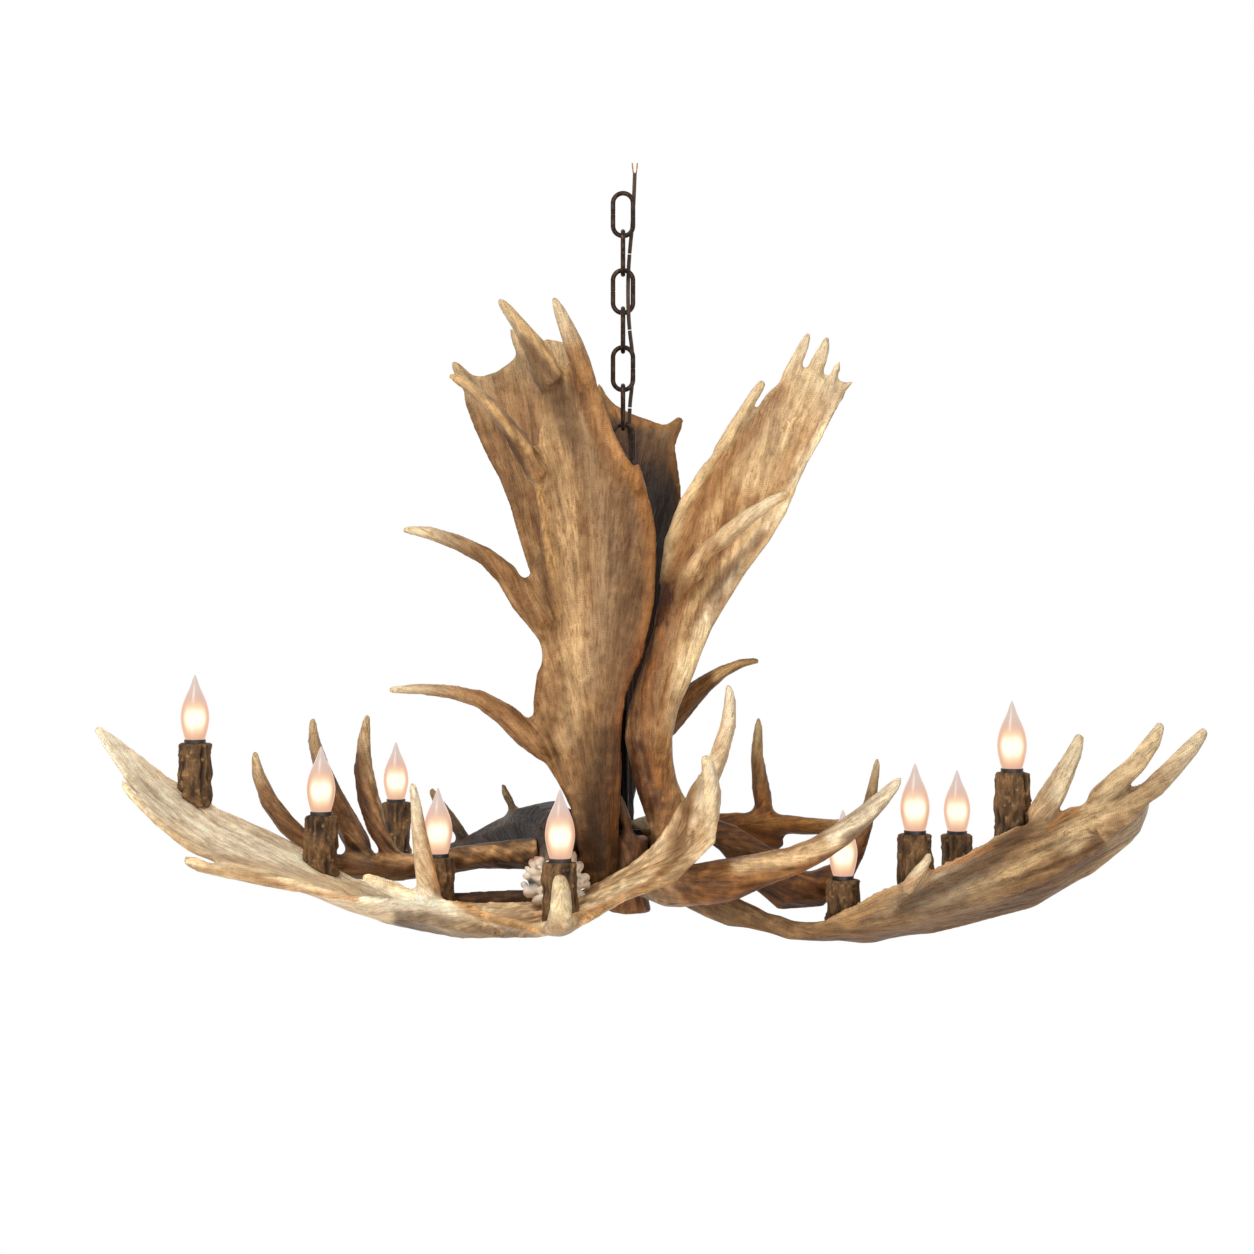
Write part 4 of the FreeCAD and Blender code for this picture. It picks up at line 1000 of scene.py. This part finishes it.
def bulb(light):
    """A flame bulb: its frosted glass and its brass screw base."""
    centre = cup_centre(light)
    points, faces = turned(centre, smooth_curve(GLASS, 5), 48)
    glass = mesh_object("bulb_%s_glass" % light, points, faces)
    heights = np.array([p[2] for p in points]) - centre[2]
    store(glass.data, "height", unit(heights / GLASS[-1][0]))
    glass.data.materials.append(FROST)
    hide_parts("bulb_glass_" + light)
    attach(glass, "bulb_" + light)
    threads = [(-0.0330, 0.0018), (-0.0325, 0.0024), (-0.0300, 0.0042)]
    for k in range(30):
        height = -0.0290 + k * 0.00064
        threads.append((height, 0.0053 + 0.0004 * math.cos(k * 2.0 * math.pi / 5.0)))
    threads += [(-0.0094, 0.0055), (-0.0082, 0.0056)]
    base = mesh_object("bulb_%s_screw" % light, *turned(centre, threads, 32))
    base.data.materials.append(BRASS)
    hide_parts("bulb_base_" + light)
    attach(base, "bulb_" + light)


def holders():
    """The nine lampholders: sleeves with rounded rims and a narrow well."""
    profile = [(-0.038, 0.0105), (-0.037, 0.0117), (0.0032, 0.0119), (0.0038, 0.0117),
               (0.0040, 0.0113), (0.0036, 0.0110), (-0.0085, 0.0064), (-0.0330, 0.0063),
               (-0.0333, 0.0010)]
    parts = [turned(cup_centre(light), profile, 36) for light in LIGHTS]
    obj = mesh_object("lamp_sockets", *join(parts))
    obj.data.materials.append(HOLDER)
    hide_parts("lampholders")
    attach(obj, "fixture")


for number, light in enumerate(LIGHTS):
    bark_cup(light, number + 1)
    bulb(light)
holders()


# ---- chain and stem
BRONZE = metal_paint("chain_bronze", "281c16", "46362a")
DARK_STEEL = metal_paint("stem_dark", "0c0806", "1a130e", 0.55)


def arc(middle, across, radius, first, last):
    """Points on an arc in an upright plane, angles from the across direction."""
    points = []
    for angle in np.linspace(first, last, 19):
        points.append(middle + across * (radius * math.cos(angle)) + up(radius * math.sin(angle)))
    return points


def chain_link(i):
    """A link of round bent wire with a butt seam in one side bar."""
    across = np.array([SEAM_SIDES[i], 0, 0]) if i % 2 == 0 else np.array([0, SEAM_SIDES[i], 0])
    middle = up(LINK_TOP - i * LINK_PITCH - LINK_LENGTH * 0.5)
    straight = up(LINK_LENGTH * 0.5 - LINK_HALF_WIDTH)
    seam = middle - across * LINK_HALF_WIDTH
    gap = up(0.0003)
    path = [seam + gap, seam + gap * 2, seam + straight * 0.5]
    path += arc(middle + straight, across, LINK_HALF_WIDTH, math.pi, 0.0)
    path += arc(middle - straight, across, LINK_HALF_WIDTH, 0.0, -math.pi)
    path += [seam - straight * 0.5, seam - gap * 2, seam - gap]
    wire = tube(path, WIRE_R, 20, np.cross(across, [0, 0, 1]))
    obj = mesh_object("link_%d_wire" % (i + 1), *wire)
    obj.data.materials.append(BRONZE)
    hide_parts("chain_link_%d" % (i + 1))
    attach(obj, "link_%d" % (i + 1))


def hanging_loop():
    """The closed loop under the last link, on its turned cap."""
    top = LINK_TOP - LINK_COUNT * LINK_PITCH
    cap_top = top - LOOP_LENGTH
    path = [np.array([0, -LOOP_HALF_WIDTH, cap_top - 0.002])]
    path += arc(up(top - LOOP_HALF_WIDTH), np.array([0, 1.0, 0]), LOOP_HALF_WIDTH, math.pi, 0.0)
    path += [np.array([0, LOOP_HALF_WIDTH, cap_top - 0.002])]
    profile = [(-CAP_HEIGHT, 0.90), (-CAP_HEIGHT + 0.001, 0.97), (-0.005, 0.97), (-0.0042, 0.90),
               (-0.0034, 0.97), (-0.001, 0.95), (0.0, 0.86)]
    cap = turned(up(cap_top), [(height, CAP_R * share) for height, share in profile], 40)
    obj = mesh_object("stem_loop_wire", *join([tube(path, WIRE_R, 20, [1, 0, 0]), cap]))
    obj.data.materials.append(BRONZE)
    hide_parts("stem_loop")
    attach(obj, "fixture")
    stem = [(STEM_BOTTOM, STEM_R * 0.9)]
    low = STEM_BOTTOM + 0.001
    high = cap_top - CAP_HEIGHT - 0.0005
    count = 300
    for k in range(count + 1):
        stem.append((low + (high - low) * k / count, STEM_R * (1.0 if k % 2 else 0.955)))
    rod = mesh_object("stem_thread", *turned(up(0.0), stem, 24))
    rod.data.materials.append(DARK_STEEL)
    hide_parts("centre_stem")
    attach(rod, "fixture")


for i in range(LINK_COUNT):
    chain_link(i)
hanging_loop()
for node in ("hub_plate_upper", "hub_plate_lower", "lock_nuts", "hub_screws", "nipples"):
    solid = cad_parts[node]
    solid.data.materials.clear()
    solid.data.materials.append(BRASS if node == "nipples" else DARK_STEEL)


# ---- cord
ROUTE = [
    (0.013, 0.0085, 0.026), (0.0115, 0.0058, -0.0213), (0.007, 0.0058, -0.0637),
    (0.0055, 0.0068, -0.0911), (0.0055, -0.0068, -0.1211), (0.007, 0.0, -0.1484),
    (0.011, 0.0058, -0.1758), (0.0105, 0.0058, -0.2058), (0.007, 0.0058, -0.2332),
    (0.007, 0.0068, -0.2756), (0.009, 0.0125, -0.3074), (0.0095, 0.013, -0.345),
    (0.0095, 0.012, -0.4),
] + [(0.009, 0.011, z) for z in (-0.455, -0.51, -0.565, -0.62, -0.66)]


def cord_line():
    """The points of the cord's smooth line."""
    data = bpy.data.curves.new("cord_line", "CURVE")
    data.dimensions = "3D"
    data.resolution_u = 24
    spline = data.splines.new("NURBS")
    spline.points.add(len(ROUTE) - 1)
    for point, place in zip(spline.points, ROUTE):
        point.co = (*place, 1.0)
    spline.order_u = 3
    spline.use_endpoint_u = True
    mesh = settled(bpy.data.objects.new("cord_line", data))
    line = [np.array(v.co) for v in mesh.vertices]
    bpy.data.meshes.remove(mesh)
    return line


def cord_piece(name, line, start):
    """A woven tube along part of the line."""
    sides = 14
    obj = mesh_object(name, *tube(line, CORD_R, sides))
    spans = [0.0] + [float(np.linalg.norm(b - a)) for a, b in zip(line, line[1:])]
    store(obj.data, "around", np.tile(turns(sides), len(line)))
    store(obj.data, "along", np.repeat(np.cumsum(spans) + start, sides))
    obj.data.materials.append(CORD)
    return obj, float(sum(spans))


CORD = cord_paint()
COPPER = metal_paint("lead_copper", "8c4f2c", "c98a5c", 0.35)
line = cord_line()
run = 0.0
for k in range(LINK_COUNT):
    high = 1.0 if k == 0 else LINK_TOP - k * LINK_PITCH - LINK_LENGTH * 0.5 + 0.0004
    low = -9.0 if k == LINK_COUNT - 1 else LINK_TOP - (k + 1) * LINK_PITCH - LINK_LENGTH * 0.5
    stretch = [p for p in line if low <= p[2] <= high]
    obj, length = cord_piece("cord_%d" % (k + 1), stretch, run)
    run += length
    if k == 0:
        ends = []
        for side in (-0.0011, 0.0011):
            foot = stretch[0] + np.array([side, 0, -0.002])
            bend = foot + np.array([side, 0, 0.006])
            ends.append(tube([foot, bend, foot + np.array([side * 1.6, 0, 0.013])], 0.00075, 10))
        leads = mesh_object("cord_leads", *join(ends))
        leads.data.materials.append(COPPER)
        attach(leads, "link_1")
    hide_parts("supply_cord")
    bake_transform(obj)


# ---- camera, light and background
FLOOR_Z = -2.2
FLOOR_HALF_WIDTH = 3.0
scene = bpy.context.scene
lens = bpy.data.cameras.new("camera")
lens.sensor_width = 36.0
lens.lens = lens.sensor_width * EYE_DISTANCE / (PICTURE_WIDTH * PIXEL)
lens.clip_end = 50.0
camera = bpy.data.objects.new("camera", lens)
camera.location = (AXIS_SHIFT, -EYE_DISTANCE, EYE_HEIGHT)
camera.rotation_euler = (math.pi / 2, 0.0, 0.0)
scene.collection.objects.link(camera)
scene.camera = camera

world = bpy.data.worlds.new("studio")
world.use_nodes = True
scene.world = world
sky = Nodes(world.node_tree)
fill = sky.add("ShaderNodeBackground", [("Color", (1.0, 0.97, 0.93, 1.0)), ("Strength", 0.36)])
white = sky.add("ShaderNodeBackground", [("Color", (1.0, 1.0, 1.0, 1.0)), ("Strength", 1.0)])
choice = sky.add("ShaderNodeMixShader",
                 [(0, sky.to_the_eye()), (1, fill.outputs[0]), (2, white.outputs[0])])
sky.add("ShaderNodeOutputWorld", [(0, choice.outputs[0])])


def floor():
    """A plain pale floor well below the chandelier, to the camera nearly as white as the sky."""
    corners = [(x * FLOOR_HALF_WIDTH, y * FLOOR_HALF_WIDTH, FLOOR_Z)
               for x, y in ((-1, -1), (1, -1), (1, 1), (-1, 1))]
    obj = mesh_object("floor", corners, [(0, 1, 2, 3)])
    p = Paint("floor_pale")
    p.set(Base_Color=(0.86, 0.85, 0.83, 1.0), Roughness=0.8, Specular_IOR_Level=0.2)
    glow = p.add("ShaderNodeEmission")
    share = p.times(p.to_the_eye(), 0.88)
    blend = p.add("ShaderNodeMixShader",
                  [(0, share), (1, p.shader.outputs[0]), (2, glow.outputs[0])])
    p.put(p.output.inputs["Surface"], blend.outputs[0])
    obj.data.materials.append(p.material)


floor()


def soft_light(name, place, target, size, power, colour, mirrored=True):
    """A large square lamp turned to a point."""
    data = bpy.data.lights.new(name, "AREA")
    data.size = size
    data.energy = power
    data.color = colour
    obj = bpy.data.objects.new(name, data)
    obj.location = place
    away = np.array(place) - np.array(target)
    tilt = math.acos(away[2] / np.linalg.norm(away))
    obj.rotation_euler = (tilt, 0.0, math.atan2(away[1], away[0]) + math.pi / 2)
    obj.visible_glossy = mirrored
    scene.collection.objects.link(obj)


soft_light("key", (-0.8, -1.7, 1.3), (0, 0, -0.5), 0.7, 34, (1.0, 0.95, 0.87))
soft_light("front", (0.9, -2.4, -0.1), (0, 0, -0.6), 0.7, 13, (1.0, 0.96, 0.90))
soft_light("low", (-1.0, -2.1, -1.3), (-0.1, 0, -0.75), 0.7, 19, (1.0, 0.96, 0.90))
soft_light("back", (0.5, 2.6, 0.9), (0, 0, -0.5), 0.8, 34, (1.0, 0.96, 0.90), mirrored=False)
scene.view_settings.view_transform = "Standard"
